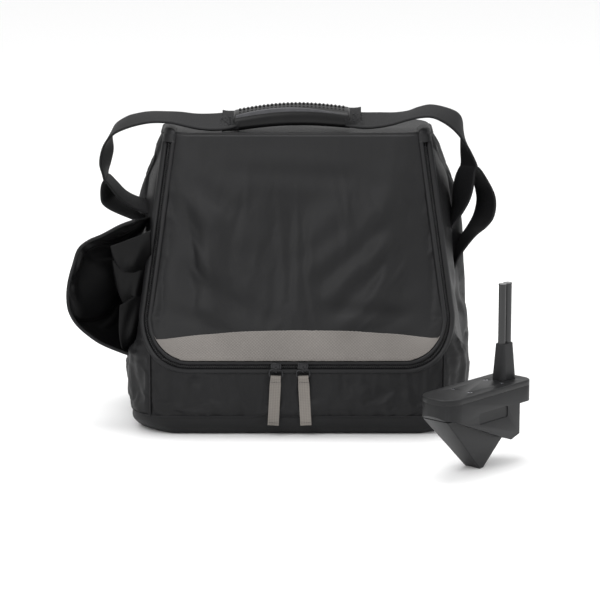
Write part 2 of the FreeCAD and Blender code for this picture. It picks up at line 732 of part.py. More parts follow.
def head_shell_parts():
    deck_low = HEAD_TALL - DECK_THICK
    seam = HEAD_TALL - BLOCK_TALL
    deck = head_plan(0.0, deck_low, DECK_THICK)
    rim = [e for e in deck.Edges if e.BoundBox.ZMin > HEAD_TALL - 0.01]
    deck = deck.makeFillet(DECK_EDGE_R, rim)
    groove_low = HEAD_TALL - SEAL_DEEP - SEAL_R
    deck = deck.cut(cylinder(CABLE_R + 0.3, cable_s(), 0, 0, HEAD_TALL + 1))
    deck = deck.cut(cylinder(CABLE_R + 2 * SEAL_R + 0.05, cable_s(), 0, groove_low, HEAD_TALL + 1))
    for s, t in screw_places():
        deck = deck.cut(cylinder(SCREW_HEAD_R + 0.2, s, t, HEAD_TALL - SCREW_HEAD_TALL - 0.5, HEAD_TALL + 1))
        deck = deck.cut(cylinder(SCREW_SHANK_R + 0.2, s, t, 0, HEAD_TALL))
    gasket_low = deck_low - GASKET_THICK
    gasket = head_plan(GASKET_INSET, gasket_low, GASKET_THICK)
    gasket = gasket.cut(head_plan(GASKET_INSET + HEAD_WALL, gasket_low, GASKET_THICK))
    block = head_plan(0.0, seam, gasket_low - seam).cut(nose_trim(0.0))
    cheeks = side_slab(cheek_outline(0.0), HEAD_WIDE / 2)
    cheeks = cheeks.common(head_plan(0.0, 0.0, seam))
    housing = block.fuse(cheeks)
    hollow_top = head_plan(HEAD_WALL, seam, HEAD_TALL).cut(nose_trim(HEAD_WALL))
    hollow_low = side_slab(cheek_outline(HEAD_WALL), HEAD_WIDE / 2 - HEAD_WALL)
    room = side_slab(wedge_outline(0.0), WEDGE_WIDE / 2).common(slab_between(-1, seam - BEZEL_THICK))
    room = room.common(wedge_sides(0.0))
    housing = housing.cut(hollow_top).cut(hollow_low).cut(room)
    boss_low = gasket_low - BOSS_TALL
    for s, t in screw_places():
        edge = math.copysign(HEAD_WIDE / 2 - HEAD_WALL / 2, t)
        low, high = sorted((t, edge))
        web = box(s - HEAD_WALL / 2, s + HEAD_WALL / 2, low, high, boss_low, gasket_low)
        housing = housing.fuse(cylinder(BOSS_R, s, t, boss_low, gasket_low).fuse(web))
    for s, t in screw_places():
        housing = housing.cut(cylinder(INSERT_R, s, t, gasket_low - INSERT_LONG, gasket_low))
        housing = housing.cut(cylinder(SCREW_SHANK_R + 0.3, s, t, gasket_low - 9.0, gasket_low))
    for hand in (-1.0, 1.0):
        edge = hand * (HEAD_WIDE / 2)
        low, high = sorted((edge, edge - hand * PLATE_THICK))
        housing = housing.cut(plate_box(low, high))
    return {"deck_cover": deck, "deck_gasket": gasket, "head_housing": housing.removeSplitter()}


def plate_box(low_t, high_t):
    mid_z = HEAD_TALL - BLOCK_TALL - 4.0
    low_z = mid_z - PLATE_TALL / 2
    plate = box(2.0 - PLATE_LONG / 2, 2.0 + PLATE_LONG / 2, low_t, high_t, low_z, low_z + PLATE_TALL)
    return plate.makeFillet(2.0, [e for e in plate.Edges if abs(e.tangentAt(0).y) > 0.9])


def wedge_parts():
    seam = HEAD_TALL - BLOCK_TALL - BEZEL_THICK
    limit = slab_between(-1, seam)
    shell = side_slab(wedge_outline(0.0), WEDGE_WIDE / 2).common(limit).common(wedge_sides(0.0))
    hollow = side_slab(wedge_outline(HEAD_WALL), WEDGE_WIDE / 2).common(limit).common(wedge_sides(HEAD_WALL))
    forward, down = [], []
    for hand, store in ((-1.0, forward), (1.0, down)):
        depths = (0.0, ARRAY_THICK, ARRAY_THICK + BACKING_THICK)
        for near, far in zip(depths, depths[1:]):
            long = ARRAY_LONG if hand < 0 else ARRAY_LONG * 0.6
            mid = 34.0 if hand < 0 else 24.0
            half = WEDGE_TIP_WIDE / 2 - HEAD_WALL - 0.5
            low_z = HEAD_WALL + near + 0.1
            tile = box(mid - long / 2, mid + long / 2, -half, half, low_z, low_z + far - near)
            if hand < 0:
                tile.rotate(Vector(0, 0, 0), Vector(0, 0, 1), 180)
            tile.rotate(Vector(0, 0, 0), Vector(0, 1, 0), 45.0 if hand < 0 else -45.0)
            tile.translate(Vector(hand * WEDGE_TIP_FLAT / 2, 0, 0))
            store.append(tile)
    windows = shell.cut(hollow)
    return {
        "wedge_housing": windows,
        "forward_array": forward[0],
        "forward_backing": forward[1],
        "down_array": down[0],
        "down_backing": down[1],
    }


def fitting_parts():
    """Screws, inserts, boot, stem and seal of the head."""
    gasket_low = HEAD_TALL - DECK_THICK - GASKET_THICK
    screws, inserts = [], []
    for s, t in screw_places():
        top = HEAD_TALL - 0.4
        head = cylinder(SCREW_HEAD_R, s, t, top - SCREW_HEAD_TALL, top)
        slot = cylinder(1.3, s, t, top - 1.0, top + 1)
        shank = cylinder(SCREW_SHANK_R, s, t, top - SCREW_HEAD_TALL - SCREW_LONG, top - SCREW_HEAD_TALL)
        screws.append(head.fuse(shank).cut(slot))
        sleeve = cylinder(INSERT_R, s, t, gasket_low - INSERT_LONG, gasket_low)
        inserts.append(sleeve.cut(cylinder(SCREW_SHANK_R, s, t, 0, HEAD_TALL)))
    foot = HEAD_TALL
    top = foot + BOOT_TALL
    low_wire = square_wire(BOOT_S, BOOT_FOOT_HALF_S, BOOT_FOOT_HALF_T, 5.0, foot)
    high_wire = square_wire(BOOT_S, BOOT_TOP_HALF_S, BOOT_TOP_HALF_T, 4.0, top)
    boot = Part.makeLoft([low_wire, high_wire], True, True)
    boot = boot.makeFillet(1.2, [e for e in boot.Edges if e.BoundBox.ZMin > top - 0.01])
    stem_top = top + STEM_LONG
    stem_low = HEAD_TALL - DECK_THICK - GASKET_THICK - NUT_TALL - 4.0
    cable = cylinder(CABLE_R, cable_s(), 0, stem_low, stem_top)
    rod = cylinder(ROD_R, rod_s(), 0, foot + 2.0, stem_top)
    boot = boot.cut(cable).cut(rod)
    for s, t in screw_places():
        boot = boot.cut(cylinder(SCREW_HEAD_R + 0.8, s, t, foot - 1, foot + 6.0))
    low = gasket_low
    nut = Part.Face(Part.makePolygon([
        Vector(cable_s() + NUT_R * math.cos(turn), NUT_R * math.sin(turn), low - NUT_TALL)
        for turn in [math.radians(60 * n) for n in range(7)]
    ])).extrude(Vector(0, 0, NUT_TALL))
    nut = nut.cut(cable)
    seal = Part.makeTorus(CABLE_R + SEAL_R, SEAL_R * 0.96, Vector(cable_s(), 0, HEAD_TALL - SEAL_DEEP))
    plugs = []
    for s, radius in ((cable_s(), CABLE_R), (rod_s(), ROD_R)):
        plugs.append(cylinder(radius + 0.25, s, 0, stem_top, stem_top + STEM_CAP_THICK))
    return {
        "deck_screws": Part.makeCompound(screws),
        "screw_inserts": Part.makeCompound(inserts),
        "cable_boot": boot,
        "stem_cable": cable,
        "stem_rod": rod,
        "gland_nut": nut,
        "cable_seal": seal,
        "stem_end": Part.makeCompound(plugs),
    }


def square_wire(s, half_s, half_t, radius, z):
    block = box(s - half_s, s + half_s, -half_t, half_t, z, z + 1.0)
    block = block.makeFillet(radius, upright_edges(block))
    face = [f for f in block.Faces if f.BoundBox.ZMax < z + 0.01][0]
    return face.OuterWire


def electronics_parts():
    """Circuit board and what is fixed to it, in the upper block."""
    board_s = -8.0
    board_low = HEAD_TALL - BLOCK_TALL - BEZEL_THICK + STANDOFF_TALL
    board_top = board_low + PCB_THICK
    board_half = HEAD_WIDE / 2 - HEAD_WALL - PCB_CLEARANCE
    board = box(board_s - PCB_LONG / 2, board_s + PCB_LONG / 2, -board_half, board_half, board_low, board_top)
    places = [
        (board_s + a * (PCB_LONG / 2 - PCB_INSET), b * (board_half - PCB_INSET))
        for a in (-1, 1) for b in (-1, 1)
    ]
    screws, posts = [], []
    for s, t in places:
        board = board.cut(cylinder(PCB_SCREW_R + 0.1, s, t, board_low - 1, board_top + 1))
        screw = cylinder(PCB_SCREW_R * 2, s, t, board_top, board_top + 1.2)
        screws.append(screw.fuse(cylinder(PCB_SCREW_R, s, t, board_low - STANDOFF_TALL + 0.4, board_top)))
        post = cylinder(STANDOFF_R, s, t, board_low - STANDOFF_TALL, board_low)
        posts.append(post.cut(cylinder(PCB_SCREW_R, s, t, board_low - STANDOFF_TALL + 0.4, board_low)))
    chip_low = board_top
    heading = box(board_s - 4, board_s + 4, -4, 4, chip_low, chip_low + 1.4)
    spreader = box(board_s + 9, board_s + 27, -8, 8, chip_low, chip_low + 3.0)
    for n in range(4):
        y = between(-6.0, 3.6, n / 3.0)
        spreader = spreader.cut(box(board_s + 8, board_s + 28, y, y + 2.4, chip_low + 1.2, chip_low + 4.0))
    ribbon_s = board_s - 1.0
    ribbon_half = RIBBON_WIDE / 2
    ribbon = box(ribbon_s, ribbon_s + RIBBON_THICK, -ribbon_half, ribbon_half, RIBBON_LOW_Z, board_low)
    return {
        "circuit_board": board,
        "board_screws": Part.makeCompound(screws),
        "board_standoffs": Part.makeCompound(posts),
        "heading_sensor": heading,
        "heat_spreader": spreader,
        "ribbon_cable": ribbon,
    }


def placed_head(parts):
    """The head's parts turned and moved to where it stands on the floor."""
    for shape in parts.values():
        shape.rotate(Vector(0, 0, 0), Vector(0, 0, 1), HEAD_YAW)
        shape.translate(Vector(HEAD_X, HEAD_Y, 0))
    return parts


def main():
    parts = {}
    bag_groups = (
        body_panels, flap_and_zip, sliders_and_pulls, strap_parts, grip_parts, pouch_parts, inner_parts,
    )
    for group in bag_groups:
        parts.update(group())
    head = {}
    for group in (head_shell_parts, wedge_parts, fitting_parts, electronics_parts):
        head.update(group())
    parts.update(placed_head(head))
    os.makedirs("parts", exist_ok=True)
    for name, shape in parts.items():
        shape.exportStep("parts/" + name + ".step")


main()
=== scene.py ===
"""Portable sonar outfit: a soft zip-front carry bag with a looped strap, a padded grip and a limp side pouch,
and the wedge-shaped sonar head that stands in front of it. Metres, in the frame of the part's solids."""
import math

import bmesh
import bpy
from bpy.props import FloatProperty, FloatVectorProperty, IntProperty, PointerProperty
from bpy.types import Operator, Panel, PropertyGroup
from mathutils import Matrix, Vector
from mathutils.bvhtree import BVHTree


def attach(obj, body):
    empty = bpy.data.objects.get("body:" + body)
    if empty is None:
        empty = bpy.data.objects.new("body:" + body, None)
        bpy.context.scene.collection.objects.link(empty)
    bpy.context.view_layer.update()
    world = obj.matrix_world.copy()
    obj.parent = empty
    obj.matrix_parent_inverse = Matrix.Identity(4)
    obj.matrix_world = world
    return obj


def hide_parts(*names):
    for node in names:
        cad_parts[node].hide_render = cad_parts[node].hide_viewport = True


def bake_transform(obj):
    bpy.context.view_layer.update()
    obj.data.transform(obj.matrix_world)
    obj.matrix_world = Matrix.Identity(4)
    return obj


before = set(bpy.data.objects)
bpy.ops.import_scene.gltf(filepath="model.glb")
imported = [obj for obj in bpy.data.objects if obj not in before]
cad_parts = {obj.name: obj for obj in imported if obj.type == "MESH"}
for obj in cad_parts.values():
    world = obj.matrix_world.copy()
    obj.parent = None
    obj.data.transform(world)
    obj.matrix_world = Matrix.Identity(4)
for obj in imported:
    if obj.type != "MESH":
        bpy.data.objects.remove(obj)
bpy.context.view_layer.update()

bl_info = {
    "name": "Portable sonar outfit",
    "version": (1, 0, 0),
    "blender": (4, 5, 0),
    "location": "View3D > Sidebar > Sonar outfit",
    "description": "Builds a soft carry bag and the sonar head that belongs to it",
    "category": "Object",
}

MM = 0.001
INSIDE_BAG = Vector((0.0, 0.03, 0.13))

# (height, half width, front y, back y, corner radius) where the bag's form changes slope
BAG_LEVELS = [
    (0.000, 0.160, -0.100, 0.092, 0.036),
    (0.020, 0.167, -0.110, 0.098, 0.036),
    (0.080, 0.167, -0.110, 0.098, 0.036),
    (0.292, 0.139, -0.002, 0.096, 0.030),
]
BASE_SEAM_Z = 0.020
FOLD_Z = 0.080
TOP_Z = 0.292
HINGE = Vector((0.0, -0.00506, 0.286))
ZIP_Z = 0.072
ZIP_CORNER = 0.045
ZIP_HALF_LOW = 0.153
ZIP_NARROWING = 0.023 / 0.175
SEAM_X = 0.148
BACK_SEAM_X = 0.112
ZIP_GAP = 0.0035  # from the zip's line to the cloth's edge on either side
TRIM_GAP = 0.0062  # from the zip's line to the trim's edge
TOP_LIP = 0.0035  # height of the rounded lip round the top panel
PANEL_SINK = 0.0004  # cloth panels start this far inside the outline
PANEL_THICK = 0.004
TAB_START = 0.0046  # how far below the hinge the zip's end tabs begin
TAB_LENGTH = 0.040
TAB_CLOTH = 0.036  # length of the tabs' ribbing pattern
TAB_NEAR, TAB_FAR, TAB_PROUD = -0.0070, 0.0078, 0.0044
BINDING_SINK = 0.0012
TAB_BEND = 0.007
SLIDER_FACE_Y = -0.1096
PULL_Y = -0.1136
PULL_TOP = ZIP_Z - 0.0025
PULL_WIDE, PULL_LONG = 0.0113, 0.0500
WIRE_RADIUS = 0.0008  # the sliders' bails and the pulls' rings
TRIM_HALF_WIDE, TRIM_LIFT, TRIM_THICK = 0.149, 0.0020, 0.0012
FRONT_CORD, BACK_CORD, TOP_CORD, BASE_CORD, TRIM_CORD = 0.0009, 0.0012, 0.0013, 0.0008, 0.0007
TOOTH_OFFSET, TOOTH_WIDE, TOOTH_TALL, TOOTH_SINK = 0.00055, 0.0024, 0.0013, 0.0006
BASE_FLOOR_SHARE = 0.45  # how much of the base's sheet lies under the bag
MERGE_GAP = 0.00002
GRIP_LONG, GRIP_HALF_WIDE, GRIP_HALF_TALL = 0.121, 0.0155, 0.0088
GRIP_FROM_X, GRIP_TO_X, GRIP_Y, GRIP_Z = -66.0, 55.0, 0.024, 302.1  # y in metres, the others in millimetres
GRIP_ARCH, GRIP_SLANT = 5.2, 1.6  # millimetres
GRIP_TILT = 0.0026 / 0.0155  # the grip's lean, front to back
POUCH_MOUTH_Y, POUCH_BACK_Y = -0.072, 0.004
POUCH_INSIDE = Vector((-0.17, -0.03, 0.145))
FOLD_INSIDE = Vector((-0.17, 0.03, 0.145))
CAMERA_TARGET = Vector((0.003, -0.107, 0.140))
CAMERA_AWAY, CAMERA_LENS, CAMERA_SENSOR, CAMERA_CLIP = 3.0, 180.0, 36.0, 60.0
CAMERA_DOWN = math.radians(12.4)
FLOOR_HALF, FLOOR_DROP, FLOOR_SHADE = 12.0, 0.0002, 0.93
# (name, place, target, size, watts)
LIGHTS = [
    ("Key", (-0.9, -1.5, 1.9), (0.0, -0.05, 0.15), (1.3, 1.3), 20.0),
    ("Fill", (1.6, -1.2, 1.1), (0.05, -0.05, 0.12), (1.2, 1.2), 6.0),
    ("Top", (0.0, 0.3, 2.0), (0.0, -0.05, 0.2), (1.4, 0.9), 20.0),
]
CLOTH_SETTINGS = {
    "quality": 4, "mass": 0.25, "tension_stiffness": 18.0, "compression_stiffness": 18.0, "shear_stiffness": 6.0,
    "bending_stiffness": 0.4,
}


# ---- sizes and colours a user would change ------------------------------------------------------------
def length_size(name, description, default, low, high):
    return FloatProperty(
        name=name, description=description, default=default, min=low, max=high, subtype="DISTANCE", unit="LENGTH"
    )


def plain_colour(name, description, default):
    return FloatVectorProperty(
        name=name, description=description, default=default, subtype="COLOR", size=3, min=0.0, max=1.0
    )


class SonarOutfitSizes(PropertyGroup):
    """Sizes of the soft pieces."""

    flap_crown: length_size("Flap crown", "How far the middle of the flap stands proud", 0.004, 0.0, 0.01)
    cloth_slack: FloatProperty(
        name="Cloth slack", description="Extra cloth in each panel, which falls into wrinkles", default=0.022,
        min=0.0, max=0.06, subtype="FACTOR",
    )
    webbing_width: length_size("Webbing width", "Width of the strap's webbing", 0.032, 0.02, 0.05)
    webbing_thickness: length_size("Webbing thickness", "Thickness of the strap's webbing", 0.0020, 0.001, 0.003)
    tooth_pitch: length_size("Tooth pitch", "Distance between the zip's teeth", 0.0021, 0.001, 0.004)
    grip_ribs: IntProperty(
        name="Grip ribs", description="Number of raised ribs along the grip", default=27, min=5, max=40,
    )


class SonarOutfitColours(PropertyGroup):
    """Colours of the outfit's cloth and plastics."""

    shell: plain_colour("Outer cloth", "Colour of the bag's woven cloth", (0.0070, 0.0070, 0.0076))
    trim: plain_colour("Trim", "Colour of the trim along the flap", (0.155, 0.143, 0.133))
    pull: plain_colour("Zip pulls", "Colour of the zip pulls' webbing", (0.175, 0.160, 0.145))
    webbing: plain_colour("Webbing", "Colour of the strap's webbing", (0.0070, 0.0070, 0.0077))
    head: plain_colour("Head plastic", "Colour of the sonar head's casing", (0.0060, 0.0062, 0.0067))


def sizes():
    return bpy.context.scene.sonar_outfit_sizes


def colours():
    return bpy.context.scene.sonar_outfit_colours


# ---- shared effects as node groups --------------------------------------------------------------------
def shared_group(name, inputs, outputs):
    """Makes a node group the first time it is asked for; the function below it wires the nodes."""
    def wrap(wire):
        def made_once():
            group = bpy.data.node_groups.get(name)
            if group is None:
                group = bpy.data.node_groups.new(name, "ShaderNodeTree")
                for label, kind, value in inputs:
                    socket = group.interface.new_socket(name=label, in_out="INPUT", socket_type=kind)
                    if value is not None:
                        socket.default_value = value
                for label in outputs:
                    group.interface.new_socket(name=label, in_out="OUTPUT", socket_type="NodeSocketFloat")
                wire(group, group.nodes.new("NodeGroupInput"), group.nodes.new("NodeGroupOutput"))
            return group
        return made_once
    return wrap


def add_node(tree, kind, settings=None, **links):
    """A node with its settings and its inputs; an input is a socket to link or a value to set."""
    node = tree.nodes.new(kind)
    for key, value in (settings or {}).items():
        setattr(node, key, value)
    for key, value in links.items():
        numbered = key[0] == "i" and key[1:].isdigit()
        socket = node.inputs[int(key[1:]) if numbered else key.replace("_", " ")]
        if isinstance(value, bpy.types.NodeSocket):
            tree.links.new(value, socket)
        else:
            socket.default_value = value
    return node


def maths(tree, operation, a, b=0.5, clamp=False):
    return add_node(tree, "ShaderNodeMath", {"operation": operation, "use_clamp": clamp}, i0=a, i1=b).outputs[0]


@shared_group(
    "Plain weave", [("Vector", "NodeSocketVector", None), ("Count per metre", "NodeSocketFloat", 1500.0)], ["Height"]
)
def weave_group(group, start, end):
    """Plain weave: threads over and under each other, as a height."""
    split = add_node(group, "ShaderNodeSeparateXYZ", i0=start.outputs["Vector"])
    turns = maths(group, "MULTIPLY", start.outputs["Count per metre"], math.pi)
    across = maths(group, "SINE", maths(group, "MULTIPLY", split.outputs[0], turns))
    along = maths(group, "SINE", maths(group, "MULTIPLY", split.outputs[1], turns))
    crossed = maths(group, "MULTIPLY", across, along)
    group.links.new(maths(group, "MULTIPLY_ADD", crossed, 0.5), end.inputs["Height"])


@shared_group(
    "Webbing ribs", [("Vector", "NodeSocketVector", None), ("Count per metre", "NodeSocketFloat", 620.0)], ["Height"]
)
def rib_group(group, start, end):
    """Fine ribs across a band of webbing, with a coarser wave of the warp along it."""
    split = add_node(group, "ShaderNodeSeparateXYZ", i0=start.outputs["Vector"])
    turns = maths(group, "MULTIPLY", start.outputs["Count per metre"], math.tau)
    ribs = maths(group, "SINE", maths(group, "MULTIPLY", split.outputs[0], turns))
    warp_turns = maths(group, "MULTIPLY", turns, 0.55)
    warp = maths(group, "SINE", maths(group, "MULTIPLY", split.outputs[1], warp_turns))
    both = maths(group, "ADD", maths(group, "MULTIPLY", ribs, 0.32), maths(group, "MULTIPLY", warp, 0.22))
    group.links.new(maths(group, "ADD", both, 0.5), end.inputs["Height"])


@shared_group(
    "Mottle", [("Vector", "NodeSocketVector", None), ("Scale", "NodeSocketFloat", 18.0)], ["Broad", "Fine"]
)
def mottle_group(group, start, end):
    """Broad and fine unevenness, 0 to 1, for colour and roughness."""
    where, scale = start.outputs["Vector"], start.outputs["Scale"]
    broad = add_node(group, "ShaderNodeTexNoise", Vector=where, Scale=scale, Detail=4.0)
    finer = maths(group, "MULTIPLY", scale, 45.0)
    fine = add_node(group, "ShaderNodeTexNoise", Vector=where, Scale=finer, Detail=2.0)
    group.links.new(broad.outputs[0], end.inputs["Broad"])
    group.links.new(fine.outputs[0], end.inputs["Fine"])


@shared_group("Rubbed edges", [("Breakup", "NodeSocketFloat", 0.5), ("Amount", "NodeSocketFloat", 0.5)], ["Mask"])
def rub_group(group, start, end):
    """Where corners and rims stand out and get rubbed lighter, 0 to 1."""
    geometry = group.nodes.new("ShaderNodeNewGeometry")
    sharp = add_node(
        group, "ShaderNodeMapRange", Value=geometry.outputs["Pointiness"], From_Min=0.505, From_Max=0.58
    )
    broken = maths(group, "MULTIPLY", sharp.outputs[0], start.outputs["Breakup"])
    group.links.new(maths(group, "MULTIPLY", broken, start.outputs["Amount"], True), end.inputs["Mask"])


def place_group(tree, group, **links):
    return add_node(tree, "ShaderNodeGroup", {"node_tree": group}, **links)


def new_material(name):
    material = bpy.data.materials.new(name)
    material.use_nodes = True
    tree = material.node_tree
    return material, tree, tree.nodes["Principled BSDF"]


def ramp(tree, factor, stops):
    node = tree.nodes.new("ShaderNodeValToRGB")
    tree.links.new(factor, node.inputs[0])
    elements = node.color_ramp.elements
    while len(elements) < len(stops):
        elements.new(0.5)
    for element, (position, colour) in zip(elements, stops):
        element.position = position
        element.color = (*colour, 1.0)
    return node.outputs[0]


def tint(colour, share):
    return tuple(min(1.0, c * share) for c in colour)


def cloth_material(name, colour, pattern, coordinate, count, depth, rough, sheen, lift, shine):
    """Woven cloth or webbing: thread relief, uneven colour and a soft sheen."""
    if name in bpy.data.materials:
        return bpy.data.materials[name]
    material, tree, shader = new_material(name)
    where = tree.nodes.new("ShaderNodeTexCoord")
    weave = place_group(tree, pattern(), Vector=where.outputs[coordinate], Count_per_metre=count)
    mottle = place_group(tree, mottle_group(), Vector=where.outputs["Object"], Scale=14.0)
    threads = maths(tree, "MULTIPLY", weave.outputs["Height"], 0.30)
    mixed = maths(tree, "ADD", maths(tree, "MULTIPLY", mottle.outputs["Broad"], 0.62), threads, True)
    colour_out = ramp(tree, mixed, [(0.15, tint(colour, 0.62)), (0.55, colour), (0.95, tint(colour, lift))])
    tree.links.new(colour_out, shader.inputs["Base Color"])
    roughness = maths(tree, "MULTIPLY_ADD", mottle.outputs["Fine"], 0.14)
    roughness.node.inputs[2].default_value = rough - 0.07
    tree.links.new(roughness, shader.inputs["Roughness"])
    fuzz = maths(tree, "MULTIPLY", mottle.outputs["Fine"], 0.35)
    height = maths(tree, "ADD", weave.outputs["Height"], fuzz)
    bump = add_node(tree, "ShaderNodeBump", Strength=0.55, Distance=depth, Height=height)
    tree.links.new(bump.outputs[0], shader.inputs["Normal"])
    shader.inputs["Sheen Weight"].default_value = sheen
    shader.inputs["Sheen Roughness"].default_value = 0.35
    shader.inputs["Specular IOR Level"].default_value = shine
    return material


def hard_material(
    name, colour, rough, grain_depth=0.00004, metal=0.0, rub=0.0, coat=0.0, grain=60.0, lift=1.5, shine=0.5
):
    """Moulded plastic, rubber or metal: fine grain, uneven gloss and rubbed edges."""
    if name in bpy.data.materials:
        return bpy.data.materials[name]
    material, tree, shader = new_material(name)
    where = tree.nodes.new("ShaderNodeTexCoord")
    mottle = place_group(tree, mottle_group(), Vector=where.outputs["Object"], Scale=grain)
    shade = ramp(tree, mottle.outputs["Broad"], [(0.25, tint(colour, 0.82)), (0.75, tint(colour, 1.15))])
    if rub > 0.0:
        worn = place_group(tree, rub_group(), Breakup=mottle.outputs["Broad"], Amount=rub)
        mix = add_node(tree, "ShaderNodeMix", {"data_type": "RGBA"})
        tree.links.new(worn.outputs["Mask"], mix.inputs["Factor"])
        tree.links.new(shade, mix.inputs[6])
        mix.inputs[7].default_value = (*tint(colour, lift * 2.0), 1.0)
        shade = mix.outputs[2]
    tree.links.new(shade, shader.inputs["Base Color"])
    roughness = maths(tree, "MULTIPLY_ADD", mottle.outputs["Fine"], 0.16)
    roughness.node.inputs[2].default_value = rough - 0.08
    tree.links.new(roughness, shader.inputs["Roughness"])
    bump = add_node(tree, "ShaderNodeBump", Strength=0.5, Distance=grain_depth, Height=mottle.outputs["Fine"])
    tree.links.new(bump.outputs[0], shader.inputs["Normal"])
    shader.inputs["Metallic"].default_value = metal
    shader.inputs["Specular IOR Level"].default_value = shine
    shader.inputs["Coat Weight"].default_value = coat
    return material


def cloth(name):
    """One of the outfit's cloths. Each row: colour, weave, coordinates, threads a metre, relief, roughness, sheen,
    how much lighter its worn parts are, and shine."""
    chosen = colours()
    shell, webbing, trim, pull = (tuple(c) for c in (chosen.shell, chosen.webbing, chosen.trim, chosen.pull))
    return cloth_material(name, *{
        "Outer cloth": (shell, weave_group, "UV", 1700.0, 0.00009, 0.52, 0.0, 1.7, 0.20),
        "Lining cloth": ((0.004, 0.004, 0.0045), weave_group, "UV", 1500.0, 0.00008, 0.75, 0.02, 1.5, 0.15),
        "Strap webbing": (webbing, rib_group, "UV", 640.0, 0.00018, 0.62, 0.0, 1.8, 0.20),
        "Binding tape": (webbing, rib_group, "UV", 800.0, 0.00012, 0.55, 0.0, 1.9, 0.24),
        "Trim mesh": (trim, weave_group, "UV", 620.0, 0.00022, 0.66, 0.10, 1.35, 0.24),
        "Pull webbing": (pull, rib_group, "UV", 760.0, 0.00018, 0.62, 0.10, 1.45, 0.24),
        # The pouch's cloth is the outer cloth at a third of its brightness: painted shade standing in for the shade
        # that falls in and round the limp pouch.
        "Pouch cloth": (tint(shell, 0.35), weave_group, "UV", 1700.0, 0.00009, 0.45, 0.01, 1.7, 0.16),
        "Sewing thread": ((0.016, 0.016, 0.018), rib_group, "Object", 900.0, 0.0001, 0.5, 0.05, 1.6, 0.24),
    }[name])


# ---- mesh helpers -------------------------------------------------------------------------------------
def between(low, high, share):
    return low + (high - low) * share


def smooth(share):
    share = max(0.0, min(1.0, share))
    return share * share * (3.0 - 2.0 * share)


def make_piece(name, bm, material, body, replaces=()):
    mesh = bpy.data.meshes.new(name)
    bm.to_mesh(mesh)
    bm.free()
    for polygon in mesh.polygons:
        polygon.use_smooth = True
    piece = bpy.data.objects.new(name, mesh)
    bpy.context.collection.objects.link(piece)
    if material is not None:
        mesh.materials.append(material)
    if body is not None:
        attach(piece, body)
    if replaces:
        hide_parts(*replaces)
    return piece


def sheet_mesh(columns, rows, place, length=1.0, width=1.0, inside=None, merge=False):
    """A grid sent to its place in space, with a UV map in metres. Faces point away from inside."""
    bm = bmesh.new()
    bmesh.ops.create_grid(bm, x_segments=columns, y_segments=rows, size=0.5)
    cloth = bm.loops.layers.uv.new("Cloth")
    for face in bm.faces:
        for loop in face.loops:
            loop[cloth].uv = ((loop.vert.co.x + 0.5) * length, (loop.vert.co.y + 0.5) * width)
    for vert in bm.verts:
        vert.co = place(vert.co.x + 0.5, vert.co.y + 0.5)
    if merge:
        bmesh.ops.remove_doubles(bm, verts=bm.verts[:], dist=MERGE_GAP)
    point_outwards(bm, inside)
    return bm


def point_outwards(bm, inside):
    bmesh.ops.recalc_face_normals(bm, faces=bm.faces[:])
    if inside is None:
        return
    bm.normal_update()
    outward = sum(f.normal.dot(f.calc_center_median() - inside) * f.calc_area() for f in bm.faces)
    if outward < 0.0:
        bmesh.ops.reverse_faces(bm, faces=bm.faces[:])


def thicken(piece, thickness, offset=-1.0):
    solid = piece.modifiers.new("Thickness", "SOLIDIFY")
    solid.thickness = thickness
    solid.offset = offset
    return piece


def apply_modifiers(piece):
    """Puts the piece's evaluated mesh in place of its own."""
    graph = bpy.context.evaluated_depsgraph_get()
    mesh = bpy.data.meshes.new_from_object(piece.evaluated_get(graph), depsgraph=graph)
    old = piece.data
    piece.modifiers.clear()
    piece.data = mesh
    bpy.data.meshes.remove(old)
    return piece


def settle_cloth(piece, slack, cap, frames=18, sag=0.15, push=0.0, ease=None):
    """Lets a sheet pinned round its rim, with a little extra cloth, fall into wrinkles. Each move is kept under
    cap, and ease can weaken it by place."""
    mesh = piece.data
    bm = bmesh.new()
    bm.from_mesh(mesh)
    rims = [v.index for v in bm.verts if v.is_boundary]
    bm.free()
    pins = piece.vertex_groups.new(name="Sewn edge")
    pins.add(rims, 1.0, "REPLACE")
    before = [v.co.copy() for v in mesh.vertices]
    cloth = piece.modifiers.new("Cloth", "CLOTH")
    cloth.settings.vertex_group_mass = "Sewn edge"
    for setting, value in CLOTH_SETTINGS.items():
        setattr(cloth.settings, setting, value)
    cloth.settings.shrink_min = -slack
    cloth.settings.effector_weights.gravity = sag
    cloth.settings.use_pressure = push > 0.0
    cloth.settings.uniform_pressure_force = push
    cloth.collision_settings.use_collision = False
    cloth.point_cache.frame_start = 1
    cloth.point_cache.frame_end = frames
    scene = bpy.context.scene
    for step in range(1, frames + 1):
        scene.frame_set(step)
    apply_modifiers(piece)
    scene.frame_set(1)
    for vert, start in zip(piece.data.vertices, before):
        move = vert.co - start
        if move.length > cap:
            move *= cap / move.length
        vert.co = start + move * (ease(start) if ease is not None else 1.0)
    piece.vertex_groups.clear()
    return piece


def press_folds(piece, folds):
    """Soft creases: each fold is a line (start, end), its depth and its half width; depth below 0 stands out."""
    mesh = piece.data
    normals = [v.normal.copy() for v in mesh.vertices]
    for vert, normal in zip(mesh.vertices, normals):
        shift = 0.0
        for start, end, depth, half in folds:
            line = Vector(end) - Vector(start)
            along = (vert.co - Vector(start)).dot(line) / line.length_squared
            inner = max(0.0, min(1.0, along))
            gap = (vert.co - Vector(start) - line * inner).length
            fade = math.sin(math.pi * inner) ** 0.6
            ridge = math.exp(-(gap / half) ** 2) - 0.55 * math.exp(-((gap - 1.8 * half) / (1.1 * half)) ** 2)
            shift += depth * fade * ridge
        vert.co -= normal * shift
    return piece


def surface_of(piece):
    bm = bmesh.new()
    bm.from_mesh(piece.data)
    tree = BVHTree.FromBMesh(bm)
    bm.free()
    return tree


